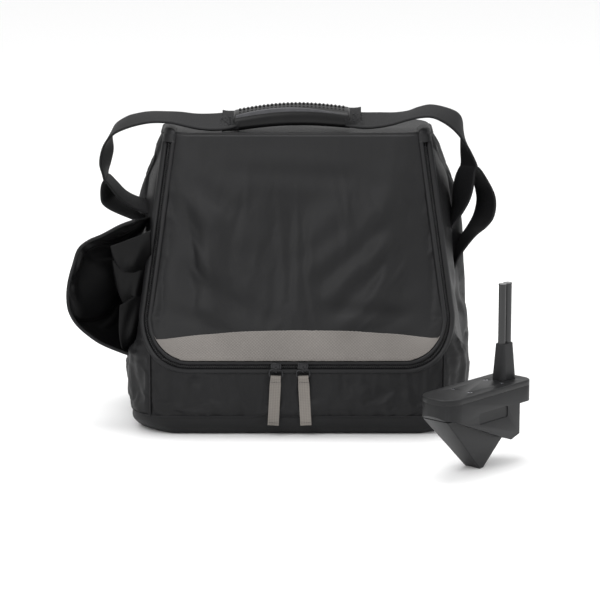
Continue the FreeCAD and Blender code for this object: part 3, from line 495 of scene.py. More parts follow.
def lay_on(piece, surface, lift):
    """Moves a sheet's points to stand a small height above a surface."""
    for vert in piece.data.vertices:
        spot, normal, _, _ = surface.find_nearest(vert.co)
        vert.co = spot + normal * lift
    return piece


def tube_piece(name, points, radius, material, body, replaces=(), closed=False):
    """A round cord or piping along points."""
    curve = bpy.data.curves.new(name, "CURVE")
    curve.dimensions = "3D"
    curve.bevel_depth = radius
    curve.bevel_resolution = 2
    curve.use_fill_caps = not closed
    spline = curve.splines.new("POLY")
    spline.points.add(len(points) - 1)
    for target, point in zip(spline.points, points):
        target.co = (*point, 1.0)
    spline.use_cyclic_u = closed
    holder = bpy.data.objects.new(name + "_line", curve)
    bpy.context.collection.objects.link(holder)
    graph = bpy.context.evaluated_depsgraph_get()
    mesh = bpy.data.meshes.new_from_object(holder.evaluated_get(graph), depsgraph=graph)
    bpy.data.objects.remove(holder)
    bpy.data.curves.remove(curve)
    bm = bmesh.new()
    bm.from_mesh(mesh)
    bpy.data.meshes.remove(mesh)
    bmesh.ops.remove_doubles(bm, verts=bm.verts[:], dist=MERGE_GAP / 2)
    bmesh.ops.recalc_face_normals(bm, faces=bm.faces[:])
    return make_piece(name, bm, material, body, replaces)


def rounded_box(bm, long, wide, tall, matrix, radius, segments=2):
    """Adds a box with rounded edges to a mesh."""
    made = bmesh.ops.create_cube(bm, size=1.0)
    verts = made["verts"]
    bmesh.ops.scale(bm, vec=(long, wide, tall), verts=verts)
    edges = list({e for v in verts for e in v.link_edges})
    result = bmesh.ops.bevel(
        bm, geom=edges, offset=radius, affect="EDGES", segments=segments, profile=0.5, material=-1
    )
    verts = list({v for f in result["faces"] for v in f.verts} | {v for v in verts if v.is_valid})
    bmesh.ops.transform(bm, matrix=matrix, verts=verts)
    return verts


# ---- the bag's outer form -----------------------------------------------------------------------------
def form_at(z):
    """Half width, front y, back y and corner radius of the bag's outline at height z."""
    for low, high in zip(BAG_LEVELS, BAG_LEVELS[1:]):
        if z <= high[0] or high is BAG_LEVELS[-1]:
            share = (z - low[0]) / (high[0] - low[0])
            return [between(a, b, share) for a, b in zip(low[1:], high[1:])]


def walk(z, distance, hand, out=0.0):
    """A point on the bag's outline at height z, this far round from the middle of the front, and its normal."""
    half, front, back, radius = form_at(z)
    straight = half - radius
    quarter = radius * math.pi / 2
    side = back - front - 2 * radius
    if distance <= straight:
        x, y, turn = distance, front, -math.pi / 2
    elif distance <= straight + quarter:
        turn = (distance - straight) / radius - math.pi / 2
        x, y = straight + radius * math.cos(turn), front + radius + radius * math.sin(turn)
    elif distance <= straight + quarter + side:
        x, y, turn = half, front + radius + distance - straight - quarter, 0.0
    elif distance <= straight + 2 * quarter + side:
        turn = (distance - straight - quarter - side) / radius
        x, y = straight + radius * math.cos(turn), back - radius + radius * math.sin(turn)
    else:
        x, y, turn = 2 * straight + 2 * quarter + side - distance, back, math.pi / 2
    normal = Vector((math.cos(turn) * hand, math.sin(turn), 0.0))
    return Vector((x * hand, y, z)) + normal * out


def round_length(z):
    """Length of half the outline at height z, from the front's middle to the back's."""
    half, front, back, radius = form_at(z)
    return 2 * (half - radius) + math.pi * radius + back - front - 2 * radius


def front_distance(z, x):
    """How far round from the front's middle the outline reaches x."""
    half, _, _, radius = form_at(z)
    straight = half - radius
    if x <= straight:
        return x
    return straight + radius * math.asin(min(1.0, (x - straight) / radius))


def front_point(x, z, out=0.0):
    """A point of the bag's front at x and z, standing out from the slope by out."""
    point = walk(z, front_distance(z, abs(x)), 1.0 if x >= 0 else -1.0)
    ahead = walk(z, front_distance(z, abs(x)) + 0.001, 1.0 if x >= 0 else -1.0)
    above = walk(z + 0.001, front_distance(z + 0.001, abs(x)), 1.0 if x >= 0 else -1.0)
    normal = (ahead - point).cross(above - point).normalized() * (1.0 if x >= 0 else -1.0)
    return point + normal * out


def zip_half(z, offset):
    """Half width of the zip's U-shaped line at height z, with the line grown by offset."""
    corner_z = ZIP_Z + ZIP_CORNER
    flat = ZIP_HALF_LOW - ZIP_CORNER
    if z >= corner_z:
        return ZIP_HALF_LOW + offset - ZIP_NARROWING * (z - corner_z)
    reach = (ZIP_CORNER + offset) ** 2 - (corner_z - z) ** 2
    return flat + math.sqrt(max(0.0, reach))


def zip_line(share, offset):
    """(x, z) along the zip's U, from the top of its left side run (0) to the top of the right one (1)."""
    corner_z = ZIP_Z + ZIP_CORNER
    flat = ZIP_HALF_LOW - ZIP_CORNER
    rise = HINGE.z - corner_z
    lengths = [rise, ZIP_CORNER * math.pi / 2, 2 * flat, ZIP_CORNER * math.pi / 2, rise]
    at = share * sum(lengths)
    radius = ZIP_CORNER + offset
    side = ZIP_HALF_LOW + offset
    if at <= lengths[0]:
        z = HINGE.z - at
        return -(side - ZIP_NARROWING * (z - corner_z)), z
    at -= lengths[0]
    if at <= lengths[1]:
        turn = at / ZIP_CORNER
        return -flat - radius * math.cos(turn), corner_z - radius * math.sin(turn)
    at -= lengths[1]
    if at <= lengths[2]:
        return -flat + at, ZIP_Z - offset
    at -= lengths[2]
    if at <= lengths[3]:
        turn = at / ZIP_CORNER
        return flat + radius * math.sin(turn), corner_z - radius * math.cos(turn)
    z = corner_z + at - lengths[3]
    return side - ZIP_NARROWING * (z - corner_z), z


ZIP_LENGTH = 2 * (HINGE.z - ZIP_Z - ZIP_CORNER) + math.pi * ZIP_CORNER + 2 * (ZIP_HALF_LOW - ZIP_CORNER)


# ---- the bag's panels ---------------------------------------------------------------------------------
def crown(u, v, power=2.5):
    """1 over the middle of a sheet, falling to 0 at its rim."""
    return (1.0 - abs(2.0 * u - 1.0) ** power) * (1.0 - abs(2.0 * v - 1.0) ** power)


def make_panel(name, bm, node, fall=None, folds=(), thick=PANEL_THICK):
    """A padded cloth panel of the bag: it falls into wrinkles, is creased, then gets its thickness."""
    panel = make_piece(name, bm, cloth("Outer cloth"), "bag", (node,))
    if fall:
        settle_cloth(panel, **fall)
    if folds:
        press_folds(panel, folds)
    thicken(panel, thick)


def zip_floor(x, gap):
    """Height of the zip's line, grown by gap, below or above x on its flat run and corners."""
    flat = ZIP_HALF_LOW - ZIP_CORNER
    if abs(x) <= flat:
        return ZIP_Z - gap
    return ZIP_Z + ZIP_CORNER - math.sqrt(max(0.0, (ZIP_CORNER + gap) ** 2 - (abs(x) - flat) ** 2))


def flap_ease(co):
    """Full folds over the middle of the flap, dying away at the trim and at the held top edge."""
    return smooth((co.z - 0.088) / (0.128 - 0.088)) * (1.0 - 0.9 * smooth((co.z - 0.195) / (0.265 - 0.195)))


def build_flap():
    low, high = ZIP_Z + ZIP_GAP, TOP_Z - 0.0014
    rise = sizes().flap_crown

    def place(u, v):
        z = between(low, high, v ** 1.35)
        x = (2.0 * u - 1.0) * zip_half(z, -ZIP_GAP)
        return front_point(x, z, rise * crown(u, v, 3.0) - 0.0006)

    bm = sheet_mesh(130, 110, place, 0.30, 0.24, INSIDE_BAG)
    flap = make_piece("flap_cloth", bm, cloth("Outer cloth"), None, ("flap_panel",))
    settle_cloth(flap, sizes().cloth_slack, 0.0055, sag=0.03, push=2.4, ease=flap_ease)
    press_folds(flap, [
        ((0.125, -0.045, 0.232), (0.015, -0.08, 0.145), 0.0030, 0.010),
        ((0.112, -0.06, 0.196), (0.030, -0.095, 0.114), 0.0026, 0.009),
        ((0.075, -0.05, 0.215), (-0.020, -0.08, 0.165), 0.0018, 0.012),
        ((-0.135, -0.07, 0.172), (-0.025, -0.10, 0.112), 0.0024, 0.011),
        ((-0.125, -0.03, 0.268), (-0.066, -0.05, 0.215), 0.0022, 0.010),
        ((-0.105, -0.03, 0.250), (-0.030, -0.06, 0.200), 0.0016, 0.012),
        ((-0.085, -0.03, 0.262), (0.075, -0.03, 0.250), 0.0016, 0.009),
        ((-0.146, -0.09, 0.132), (-0.085, -0.10, 0.115), 0.0018, 0.007),
        ((0.140, -0.09, 0.142), (0.083, -0.10, 0.114), 0.0020, 0.008),
        ((0.015, -0.09, 0.130), (0.115, -0.09, 0.120), 0.0014, 0.007),
        ((-0.120, -0.05, 0.205), (-0.085, -0.08, 0.150), -0.0016, 0.010),
        ((0.118, -0.04, 0.265), (0.060, -0.04, 0.240), 0.0014, 0.009),
    ])
    thicken(flap, PANEL_THICK)
    flap.data.materials.append(cloth("Lining cloth"))
    flap.modifiers["Thickness"].material_offset = 1
    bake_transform(flap)
    return flap


def trim_top(x):
    """Height of the trim's upper edge, which bows up towards the middle."""
    return 0.1055 - 0.0085 * (abs(x - 0.006) / 0.150) ** 2.2


def build_trim(flap):
    def place(u, v):
        x = (2.0 * u - 1.0) * TRIM_HALF_WIDE
        bottom = zip_floor(x, -TRIM_GAP)
        z = between(bottom, max(trim_top(x), bottom), v)
        half = zip_half(z, -TRIM_GAP)
        return front_point(max(-half, min(half, x)), z, 0.004)

    surface = surface_of(flap)
    bm = sheet_mesh(150, 26, place, 2 * TRIM_HALF_WIDE, 0.03, INSIDE_BAG, merge=True)
    trim = make_piece("flap_trim", bm, cloth("Trim mesh"), "flap", ("trim_panel",))
    lay_on(trim, surface, TRIM_LIFT)
    thicken(trim, TRIM_THICK)
    across = [between(-0.143, 0.143, n / 60) for n in range(61)]
    edge = [front_point(x, trim_top(x), 0.004) for x in across]
    seam = tube_piece("trim_seam", edge, TRIM_CORD, cloth("Binding tape"), "flap")
    settle_tube(seam, surface, edge, 0.0008)


def settle_tube(tube, surface, line, lift):
    """Drops a piping's points so that its middle line lies on a surface."""
    shifts = []
    for point in line:
        spot, normal, _, _ = surface.find_nearest(point)
        shifts.append(spot + normal * lift - point)
    for vert in tube.data.vertices:
        nearest = min(range(len(line)), key=lambda n: (vert.co - line[n]).length_squared)
        vert.co += shifts[nearest]


def build_front_band():
    def place(u, v):
        x = (2.0 * u - 1.0) * SEAM_X
        z = between(BASE_SEAM_Z, zip_floor(x, ZIP_GAP), v)
        return front_point(x, z, 0.0030 * crown(u, v) - PANEL_SINK)

    bm = sheet_mesh(130, 34, place, 0.30, 0.06, INSIDE_BAG)
    fall = {"slack": sizes().cloth_slack * 1.3, "cap": 0.0040, "push": 0.4}
    make_panel("front_cloth", bm, "front_band", fall, [
        ((-0.118, -0.11, 0.062), (-0.085, -0.11, 0.052), 0.0018, 0.005),
        ((-0.110, -0.11, 0.045), (-0.098, -0.11, 0.064), 0.0014, 0.005),
        ((0.035, -0.11, 0.060), (0.120, -0.11, 0.046), 0.0012, 0.006),
        ((0.060, -0.11, 0.034), (0.130, -0.11, 0.058), 0.0011, 0.006),
        ((-0.060, -0.11, 0.030), (0.020, -0.11, 0.036), 0.0008, 0.007),
    ])


# (height, how far the side panels' middles stand out)
SIDE_BULGE = [
    (0.020, 0.002), (0.080, 0.006), (0.150, 0.0105), (0.200, 0.013), (0.240, 0.0145), (0.268, 0.0095), (0.2885, 0.0)
]


def side_bulge(z):
    """How far the middle of a side panel stands out at height z."""
    for low, high in zip(SIDE_BULGE, SIDE_BULGE[1:]):
        if z <= high[0]:
            return between(low[1], high[1], smooth((z - low[0]) / (high[0] - low[0])))
    return 0.0


def build_side(hand):
    name = "right" if hand > 0 else "left"
    seam_top = zip_floor(SEAM_X, ZIP_GAP)

    def place(u, v):
        z = between(BASE_SEAM_Z, TOP_Z - TOP_LIP, v)
        start = front_distance(z, SEAM_X if z < seam_top else zip_half(z, ZIP_GAP))
        end = round_length(z) - BACK_SEAM_X
        swell = side_bulge(z) * (1.12 if hand > 0 else 0.92) * (1.0 - abs(2.0 * u - 1.0) ** 2.4)
        return walk(z, between(start, end, u), hand, swell - PANEL_SINK)

    bm = sheet_mesh(92, 110, place, 0.26, 0.27, INSIDE_BAG)
    fall = {"slack": sizes().cloth_slack * 1.4, "cap": 0.0060, "sag": 0.08, "push": 2.0}
    front_x = 0.160 * hand
    make_panel(name + "_side_cloth", bm, name + "_side_panel", fall, [
        ((front_x, -0.085, 0.128), (front_x * 1.03, -0.075, 0.058), 0.0022, 0.006),
        ((front_x * 0.97, -0.095, 0.110), (front_x * 1.0, -0.092, 0.044), -0.0016, 0.005),
        ((0.163 * hand, -0.04, 0.160), (0.166 * hand, 0.02, 0.060), 0.0022, 0.010),
        ((0.160 * hand, 0.03, 0.200), (0.166 * hand, -0.02, 0.110), 0.0016, 0.009),
        ((0.150 * hand, 0.05, 0.260), (0.160 * hand, 0.06, 0.150), 0.0016, 0.010),
    ])


def build_back():
    def place(u, v):
        z = between(BASE_SEAM_Z, TOP_Z - TOP_LIP, v)
        return Vector(((2.0 * u - 1.0) * BACK_SEAM_X, form_at(z)[2] + 0.0035 * crown(u, v) - PANEL_SINK, z))

    bm = sheet_mesh(90, 100, place, 0.224, 0.27, INSIDE_BAG)
    fall = {"slack": sizes().cloth_slack, "cap": 0.0045, "sag": 0.08, "push": 2.0}
    make_panel("back_cloth", bm, "back_panel", fall)


def ring_point(z, share):
    """A point round the bag's whole outline, share 0 to 1, starting at the front's middle."""
    length = round_length(z)
    distance = share * 2.0 * length
    if distance <= length:
        return walk(z, distance, 1.0)
    return walk(z, 2.0 * length - distance, -1.0)


def build_top():
    middle = Vector((0.0, 0.047, 0.0))

    def place(u, v):
        rim = ring_point(TOP_Z, u)
        reach = 1.0 - (1.0 - v) ** 1.4
        flat = Vector((rim.x, rim.y, 0.0)) - middle
        if v < 0.12:
            lip = v / 0.12
            shrink = 1.0 - TOP_LIP * (1.0 - math.cos(lip * math.pi / 2)) / flat.length
            return middle + flat * shrink + Vector((0, 0, TOP_Z - 0.0055 + 0.0055 * math.sin(lip * math.pi / 2)))
        share = (reach - 0.17) / 0.83 if reach > 0.17 else 0.0
        shrink = (1.0 - TOP_LIP / flat.length) * (1.0 - share)
        sag = -0.0015 * math.sin(math.pi * min(1.0, share))
        return middle + flat * shrink + Vector((0, 0, TOP_Z + sag))

    bm = sheet_mesh(200, 40, place, 0.75, 0.08, INSIDE_BAG, merge=True)
    make_panel("top_cloth", bm, "top_panel", folds=[
        ((-0.11, 0.02, 0.292), (-0.04, 0.07, 0.292), 0.0010, 0.009),
        ((0.02, 0.075, 0.292), (0.11, 0.05, 0.292), 0.0010, 0.009),
        ((-0.09, 0.08, 0.292), (0.00, 0.085, 0.292), 0.0008, 0.008),
    ], thick=0.003)


def build_base():
    middle = Vector((0.0, -0.004, 0.0))

    def place(u, v):
        if v < BASE_FLOOR_SHARE:
            share = v / BASE_FLOOR_SHARE
            rim = ring_point(0.0, u)
            flat = Vector((rim.x, rim.y, 0.0)) - middle
            into_x = max(0.0, (abs(rim.x) - 0.124) / 0.036)
            into_y = max(0.0, (-0.064 - rim.y) / 0.036, (rim.y - 0.056) / 0.036)
            shrink = share * (1.0 - (0.0006 + 0.014 * into_x * into_y) / flat.length)
            return middle + flat * shrink + Vector((0, 0, 0.0002 + 0.0005 * (1 - share)))
        share = (v - BASE_FLOOR_SHARE) / (1.0 - BASE_FLOOR_SHARE)
        z = BASE_SEAM_Z * share + 0.0002
        rim = ring_point(min(z, BASE_SEAM_Z), u)
        flat = Vector((rim.x, rim.y, 0.0)) - middle
        half, front, back_y, radius = form_at(z)
        into_x = max(0.0, (abs(rim.x) - half + radius) / radius)
        into_y = max(0.0, (front + radius - rim.y) / radius, (rim.y - back_y + radius) / radius)
        corner = 2.0 * into_x * into_y
        swell = 0.0034 * math.sin(math.pi * share) - (0.0004 + 0.007 * corner) * (1.0 - share) ** 1.6
        ripple = 0.0006 * math.sin(u * math.tau * 11.0 + 1.7) * math.sin(math.pi * share)
        return middle + flat * (1.0 + (swell + ripple) / flat.length) + Vector((0, 0, z))

    bm = sheet_mesh(240, 34, place, 1.0, 0.12, Vector((0, 0, 0.03)), merge=True)
    make_panel("base_cloth", bm, "base_cup", thick=0.003)
    line = [ring_point(BASE_SEAM_Z, n / 240) + Vector((0, 0, 0.0006)) for n in range(240)]
    tube_piece("base_piping", line, BASE_CORD, cloth("Binding tape"), "bag", closed=True)


def build_seams():
    for hand, name in ((-1.0, "left"), (1.0, "right")):
        upper = zip_floor(SEAM_X, 0.005)
        front = [front_point(SEAM_X * hand, between(BASE_SEAM_Z, upper, n / 16), 0.0002) for n in range(17)]
        tube_piece(name + "_front_seam", front, FRONT_CORD, cloth("Binding tape"), "bag")
        back = []
        for n in range(41):
            z = between(BASE_SEAM_Z, TOP_Z - 0.003, n / 40)
            back.append(Vector((BACK_SEAM_X * hand, form_at(z)[2] + 0.0004, z)))
        tube_piece(name + "_back_seam", back, BACK_CORD, cloth("Binding tape"), "bag")
    rim = [ring_point(TOP_Z - TOP_LIP, n / 240) for n in range(240)]
    rim = [p for p in rim if p.y > 0.006 or abs(p.x) > 0.128]
    start = max(range(len(rim)), key=lambda n: (rim[n] - rim[n - 1]).length)
    rim = rim[start:] + rim[:start]
    tube_piece("top_piping", rim, TOP_CORD, cloth("Binding tape"), "bag")


# ---- zip ----------------------------------------------------------------------------------------------
def roll_profile(v, near, far, proud):
    """Offset and height of a soft rounded roll of binding between two offsets from the zip's line."""
    return between(near, far, v), proud * math.sin(math.pi * v) ** 0.55


def build_binding(name, near, far, proud, body, node, top_share):
    def place(u, v):
        offset, height = roll_profile(v, near, far, proud)
        share = between(top_share, 1.0 - top_share, u)
        x, z = zip_line(share, offset)
        return front_point(x, min(z, HINGE.z - 0.0002), height - BINDING_SINK)

    bm = sheet_mesh(420, 8, place, ZIP_LENGTH, abs(far - near), INSIDE_BAG)
    piece = make_piece(name, bm, cloth("Binding tape"), body, (node,))
    thicken(piece, 0.0012)


def wrap_point(hand, offset, along, out):
    """A point of a zip end's tab, which starts below the hinge, rounds the bag's top edge and runs back on top."""
    turn = TAB_BEND
    lean = math.atan2(BAG_LEVELS[3][2] - BAG_LEVELS[2][2], TOP_Z - FOLD_Z)
    leave_z = TOP_Z + 0.0004 - turn * (1.0 - math.sin(lean))
    rise = (leave_z - HINGE.z + TAB_START) / math.cos(lean)
    if along < rise:
        z = HINGE.z - TAB_START + along * math.cos(lean)
        return front_point(hand * zip_half(z, offset), z, out)
    start = front_point(hand * zip_half(leave_z, offset), leave_z)
    angle = min(math.pi / 2, lean + (along - rise) / turn)
    back = max(0.0, along - rise - turn * (math.pi / 2 - lean))
    middle = start - Vector((0.0, -math.cos(lean), math.sin(lean))) * turn
    return middle + Vector((0.0, -math.cos(angle), math.sin(angle))) * (turn + out) + Vector((0.0, back, 0.0))


def build_end_tabs():
    """A sewn tab over each end of the zip, running on under the strap."""
    for hand, side in ((-1.0, "left"), (1.0, "right")):
        def place(u, v, hand=hand):
            offset, height = roll_profile(v, TAB_NEAR, TAB_FAR, TAB_PROUD)
            return wrap_point(hand, offset, u * TAB_LENGTH, height - BINDING_SINK)

        bm = sheet_mesh(46, 8, place, TAB_CLOTH, TAB_FAR - TAB_NEAR, INSIDE_BAG)
        tab = make_piece(side + "_band_wrap_0", bm, cloth("Binding tape"), "bag")
        thicken(tab, 0.0010)


def build_tape(name, near, far, body, node):
    def place(u, v):
        x, z = zip_line(between(0.004, 0.996, u), between(near, far, v))
        return front_point(x, min(z, HINGE.z - 0.0004), -0.0016)

    bm = sheet_mesh(420, 4, place, ZIP_LENGTH, abs(far - near), INSIDE_BAG)
    piece = make_piece(name, bm, cloth("Binding tape"), body, (node,))
    thicken(piece, 0.0008)


def build_teeth(name, side, body):
    """Half of the zip's coil: small rounded teeth along the chain, set between those of the other half."""
    pitch = sizes().tooth_pitch
    count = int(ZIP_LENGTH * 0.984 / pitch)
    bm = bmesh.new()
    for n in range(count):
        share = 0.008 + (n + (0.0 if side > 0 else 0.5)) * pitch / ZIP_LENGTH
        x, z = zip_line(share, TOOTH_OFFSET * side)
        ahead_x, ahead_z = zip_line(share + 0.0005, TOOTH_OFFSET * side)
        at = front_point(x, min(z, HINGE.z - 0.001), -TOOTH_SINK)
        ahead = front_point(ahead_x, min(ahead_z, HINGE.z - 0.001), -TOOTH_SINK)
        along = (ahead - at).normalized()
        out = (front_point(x, min(z, HINGE.z - 0.001), 0.001) - at).normalized()
        aside = along.cross(out).normalized()
        turn = Matrix((along, aside, out)).transposed().to_4x4()
        verts = bmesh.ops.create_cube(bm, size=1.0)["verts"]
        bmesh.ops.scale(bm, vec=(pitch * 0.42, TOOTH_WIDE, TOOTH_TALL), verts=verts)
        for vert in verts:
            if vert.co.z > 0:
                vert.co.x *= 0.6
                vert.co.y *= 0.75
        bmesh.ops.transform(bm, matrix=Matrix.Translation(at) @ turn, verts=verts)
    teeth = hard_material("Zip teeth", (0.012, 0.012, 0.013), 0.32, grain=300.0)
    make_piece(name, bm, teeth, body)


def slider_metal():
    return hard_material("Slider metal", (0.006, 0.006, 0.007), 0.22, rub=0.25, grain=220.0, lift=3.0, shine=0.30)


def build_slider(side, x):
    name = side + "_slider_body"
    bm = bmesh.new()
    for size, out, radius, segments in (
        ((0.011, 0.0024, 0.0086), -0.0012, 0.0008, 3),
        ((0.0075, 0.0014, 0.0090), -0.0026, 0.0006, 2),
        ((0.005, 0.0052, 0.0014), 0.0022, 0.0003, 1),
        ((0.011, 0.0012, 0.0086), 0.0048, 0.0004, 1),
    ):
        rounded_box(bm, *size, Matrix.Translation((x, SLIDER_FACE_Y + out, ZIP_Z)), radius, segments)
    arch = []
    for n in range(15):
        turn = math.pi * n / 14
        z = between(ZIP_Z - 0.0052, ZIP_Z + 0.0002, 0.5 - 0.5 * math.cos(turn))
        arch.append(Vector((x, SLIDER_FACE_Y - 0.0028 - 0.0040 * math.sin(turn) ** 0.7, z)))
    make_piece(name, bm, slider_metal(), name, (side + "_slider",))
    tube_piece(name + "_bail", arch, WIRE_RADIUS, slider_metal(), name)


def lean_matrix(x, lean):
    pivot = Matrix.Translation((x, PULL_Y, PULL_TOP))
    return pivot @ Matrix.Rotation(math.radians(lean), 4, "Y") @ pivot.inverted()


def squared(turn, power):
    """Cosine and sine of a turn, pushed out towards a square."""
    return tuple(math.copysign(abs(part) ** power, part) for part in (math.cos(turn), math.sin(turn)))


def build_pull(side, x, lean):
    body = side + "_pull"
    y, top = PULL_Y, PULL_TOP
    turn = lean_matrix(x, lean)
    ring = []
    for n in range(48):
        across, up = squared(math.tau * n / 48, 0.45)
        ring.append(turn @ Vector((x + across * 0.0066, y, top - 0.0036 + up * 0.0036)))
    tube_piece(
        side + "_ring", ring, WIRE_RADIUS, slider_metal(), body, (side + "_pull_ring",), closed=True
    )
    bar = top - 0.0072
    eye = 0.0011
    path = []
    low = bar - PULL_LONG
    for n in range(20):
        share = n / 19
        path.append((y - 0.0011 - 0.0003 * math.sin(share * 5.0), between(low, bar - 0.004, share)))
    for n in range(13):
        angle = math.pi * n / 12
        path.append((y - (eye + 0.0008) * math.cos(angle), bar - 0.0010 + (eye + 0.0014) * math.sin(angle)))
    for n in range(20):
        share = n / 19
        path.append((y + 0.0008 - 0.0003 * math.sin(share * 5.0), between(bar - 0.004, low, share)))

    def place(u, v):
        step = u * (len(path) - 1)
        near = int(min(step, len(path) - 2))
        rest = step - near
        py = between(path[near][0], path[near + 1][0], rest)
        pz = between(path[near][1], path[near + 1][1], rest)
        neck = 1.0 - 0.10 * smooth((pz - (bar - 0.010)) / 0.010)
        px = x + (v - 0.5) * PULL_WIDE * neck
        return turn @ Vector((px, py, pz))

    bm = sheet_mesh(104, 10, place, 2 * PULL_LONG, PULL_WIDE, Vector((x, y, bar - 0.02)))
    tab = make_piece(side + "_tab", bm, cloth("Pull webbing"), body, (side + "_pull_tab",))
    thicken(tab, 0.0010)
    stitches = bmesh.new()
    for height in (bar - 0.0052, bar - 0.0470):
        for n in range(6):
            at = turn @ Vector((x - 0.0042 + n * 0.00168, y - 0.0023, height))
            rounded_box(stitches, 0.0012, 0.0005, 0.0004, Matrix.Translation(at), 0.00012, 1)
    make_piece(side + "_tab_stitches", stitches, cloth("Sewing thread"), body)


# ---- strap, side loops and grip -----------------------------------------------------------------------
def spline_through(points, count):
    """Evenly spread values of a smooth line through rows of numbers."""
    found = []
    spans = len(points) - 1
    for n in range(count):
        at = n / (count - 1) * spans
        near = min(int(at), spans - 1)
        t = at - near
        p0 = points[max(near - 1, 0)]
        p1, p2 = points[near], points[near + 1]
        p3 = points[min(near + 2, spans)]
        row = []
        for a, b, c, d in zip(p0, p1, p2, p3):
            curve = (2 * a - 5 * b + 4 * c - d) * t * t + (3 * b - a - 3 * c + d) * t ** 3
            row.append(0.5 * (2 * b + (c - a) * t + curve))
        found.append(row)
    return found


def webbing_piece(name, rows, body, replaces, count=150):
    """Webbing between two edges: each row is its front edge's x, y, z and its back edge's x, y, z in millimetres."""
    line = spline_through([[value * MM for value in row] for row in rows], count)
    middle = [(Vector(row[:3]) + Vector(row[3:])) * 0.5 for row in line]
    length = sum((a - b).length for a, b in zip(middle, middle[1:]))

    def place(u, v):
        step = u * (count - 1)
        near = min(int(step), count - 2)
        row = [between(a, b, step - near) for a, b in zip(line[near], line[near + 1])]
        front, back = Vector(row[:3]), Vector(row[3:])
        return front.lerp(back, v) + Vector((0.0, 0.0, 0.0006 * math.sin(math.pi * v)))

    bm = sheet_mesh(count - 1, 12, place, length, sizes().webbing_width, None)
    piece = make_piece(name, bm, cloth("Strap webbing"), body, replaces)
    thicken(piece, sizes().webbing_thickness, 0.0)
    return piece


def build_straps():
    left = webbing_piece("left_strap_run", [
        (-198.2, 6, 239.2, -196.9, 35, 240.0), (-200.0, 6, 247.4, -196.4, 35, 246.9),
        (-202.7, 6, 258.3, -193.6, 35, 256.5), (-200.9, 6, 270.8, -190.9, 35, 269.6),
        (-196.2, 6, 281.2, -191.8, 35, 283.8), (-187.9, 6, 289.6, -187.5, 35, 294.8),
        (-177.5, 6, 294.7, -176.0, 35, 302.6), (-164.1, 6, 298.9, -165.6, 35, 305.8),
        (-148.7, 6, 301.5, -152.1, 35, 307.9), (-130.3, 6, 301.0, -135.6, 35, 307.9),
        (-113.9, 6, 297.3, -120.1, 35, 307.3), (-99.6, 5, 294.6, -104.6, 34, 305.7),
        (-85.2, 4, 293.8, -88.0, 34, 305.7), (-72.0, 5, 294.6, -72.4, 35, 306.8), (-62.0, 7, 297.0, -62.0, 37, 308.0),
    ], None, ("left_strap",))
    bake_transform(left)
    right = webbing_piece("right_strap_run", [
        (50.0, 7, 297.6, 50.0, 37, 308.0), (56.0, 6, 296.8, 56.0, 36, 307.3), (68.7, 6, 295.4, 69.2, 35, 306.8),
        (83.0, 6, 296.3, 85.7, 35, 306.8), (97.3, 6, 299.0, 101.3, 35, 306.8), (112.7, 6, 303.6, 114.7, 35, 308.6),
        (126.0, 6, 306.5, 126.0, 35, 312.6), (138.3, 6, 306.7, 138.4, 35, 315.0), (149.6, 6, 302.0, 154.0, 35, 312.0),
        (160.4, 6, 294.2, 166.4, 35, 306.3), (169.3, 6, 284.4, 170.9, 35, 296.4), (176.2, 6, 274.5, 170.0, 35, 281.6),
        (181.4, 6, 264.6, 170.0, 35, 266.9), (184.6, 6, 257.3, 170.6, 35, 257.0), (186.0, 6, 250.5, 170.0, 35, 250.5),
    ], None, ("right_strap",))
    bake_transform(right)
    webbing_piece("left_loop_web", [
        (-147.0, 6, 205.0, -147.5, 35, 213.4), (-164.1, 6, 210.2, -165.6, 35, 218.5),
        (-176.4, 6, 216.5, -178.0, 35, 224.9), (-186.6, 6, 226.0, -187.2, 35, 234.4),
        (-193.7, 6, 235.4, -194.0, 35, 241.5), (-198.2, 6, 240.4, -196.5, 35, 241.9),
        (-201.2, 6, 235.5, -193.5, 35, 235.5), (-202.1, 6, 226.0, -189.6, 35, 226.9),
        (-200.7, 6, 217.5, -188.0, 35, 220.5), (-194.0, 6, 211.6, -183.5, 35, 217.4),
        (-182.7, 6, 206.1, -177.0, 35, 212.6), (-168.4, 6, 200.4, -167.0, 35, 203.4),
        (-158.0, 6, 197.0, -158.3, 35, 196.6), (-149.0, 6, 193.0, -149.0, 35, 191.0),
    ], "bag", ("left_side_loop",), 190)
    webbing_piece("right_loop_web", [
        (158.0, 6, 190.0, 154.5, 35, 192.0), (168.3, 6, 203.9, 161.5, 35, 206.9),
        (176.3, 6, 217.5, 162.3, 35, 219.6), (180.3, 6, 229.1, 163.2, 35, 232.3),
        (182.2, 6, 241.6, 166.2, 35, 243.9), (183.6, 6, 252.6, 172.0, 35, 253.4),
        (187.2, 6, 253.6, 179.0, 35, 252.6), (195.5, 6, 241.6, 182.8, 35, 238.6),
        (202.9, 6, 227.0, 186.1, 35, 225.9), (204.7, 6, 214.4, 187.2, 35, 214.3),
        (202.2, 6, 201.8, 184.3, 35, 200.5), (195.1, 6, 192.4, 179.2, 35, 189.9),
        (184.9, 6, 183.9, 173.1, 35, 180.4), (174.7, 6, 171.3, 166.9, 35, 172.9),
        (166.6, 6, 158.6, 160.7, 35, 162.3), (160.0, 8, 140.0, 159.0, 36, 140.0),
    ], "bag", ("right_side_loop", "strap_patches"), 210)


def grip_line(share):
    """The grip's middle line, from its left end to its right."""
    x = between(GRIP_FROM_X, GRIP_TO_X, share) * MM
    arch = math.sin(math.pi * share)
    tilt = between(-GRIP_SLANT, GRIP_SLANT, share)
    return Vector((x, GRIP_Y, (GRIP_Z + GRIP_ARCH * arch + tilt) * MM))


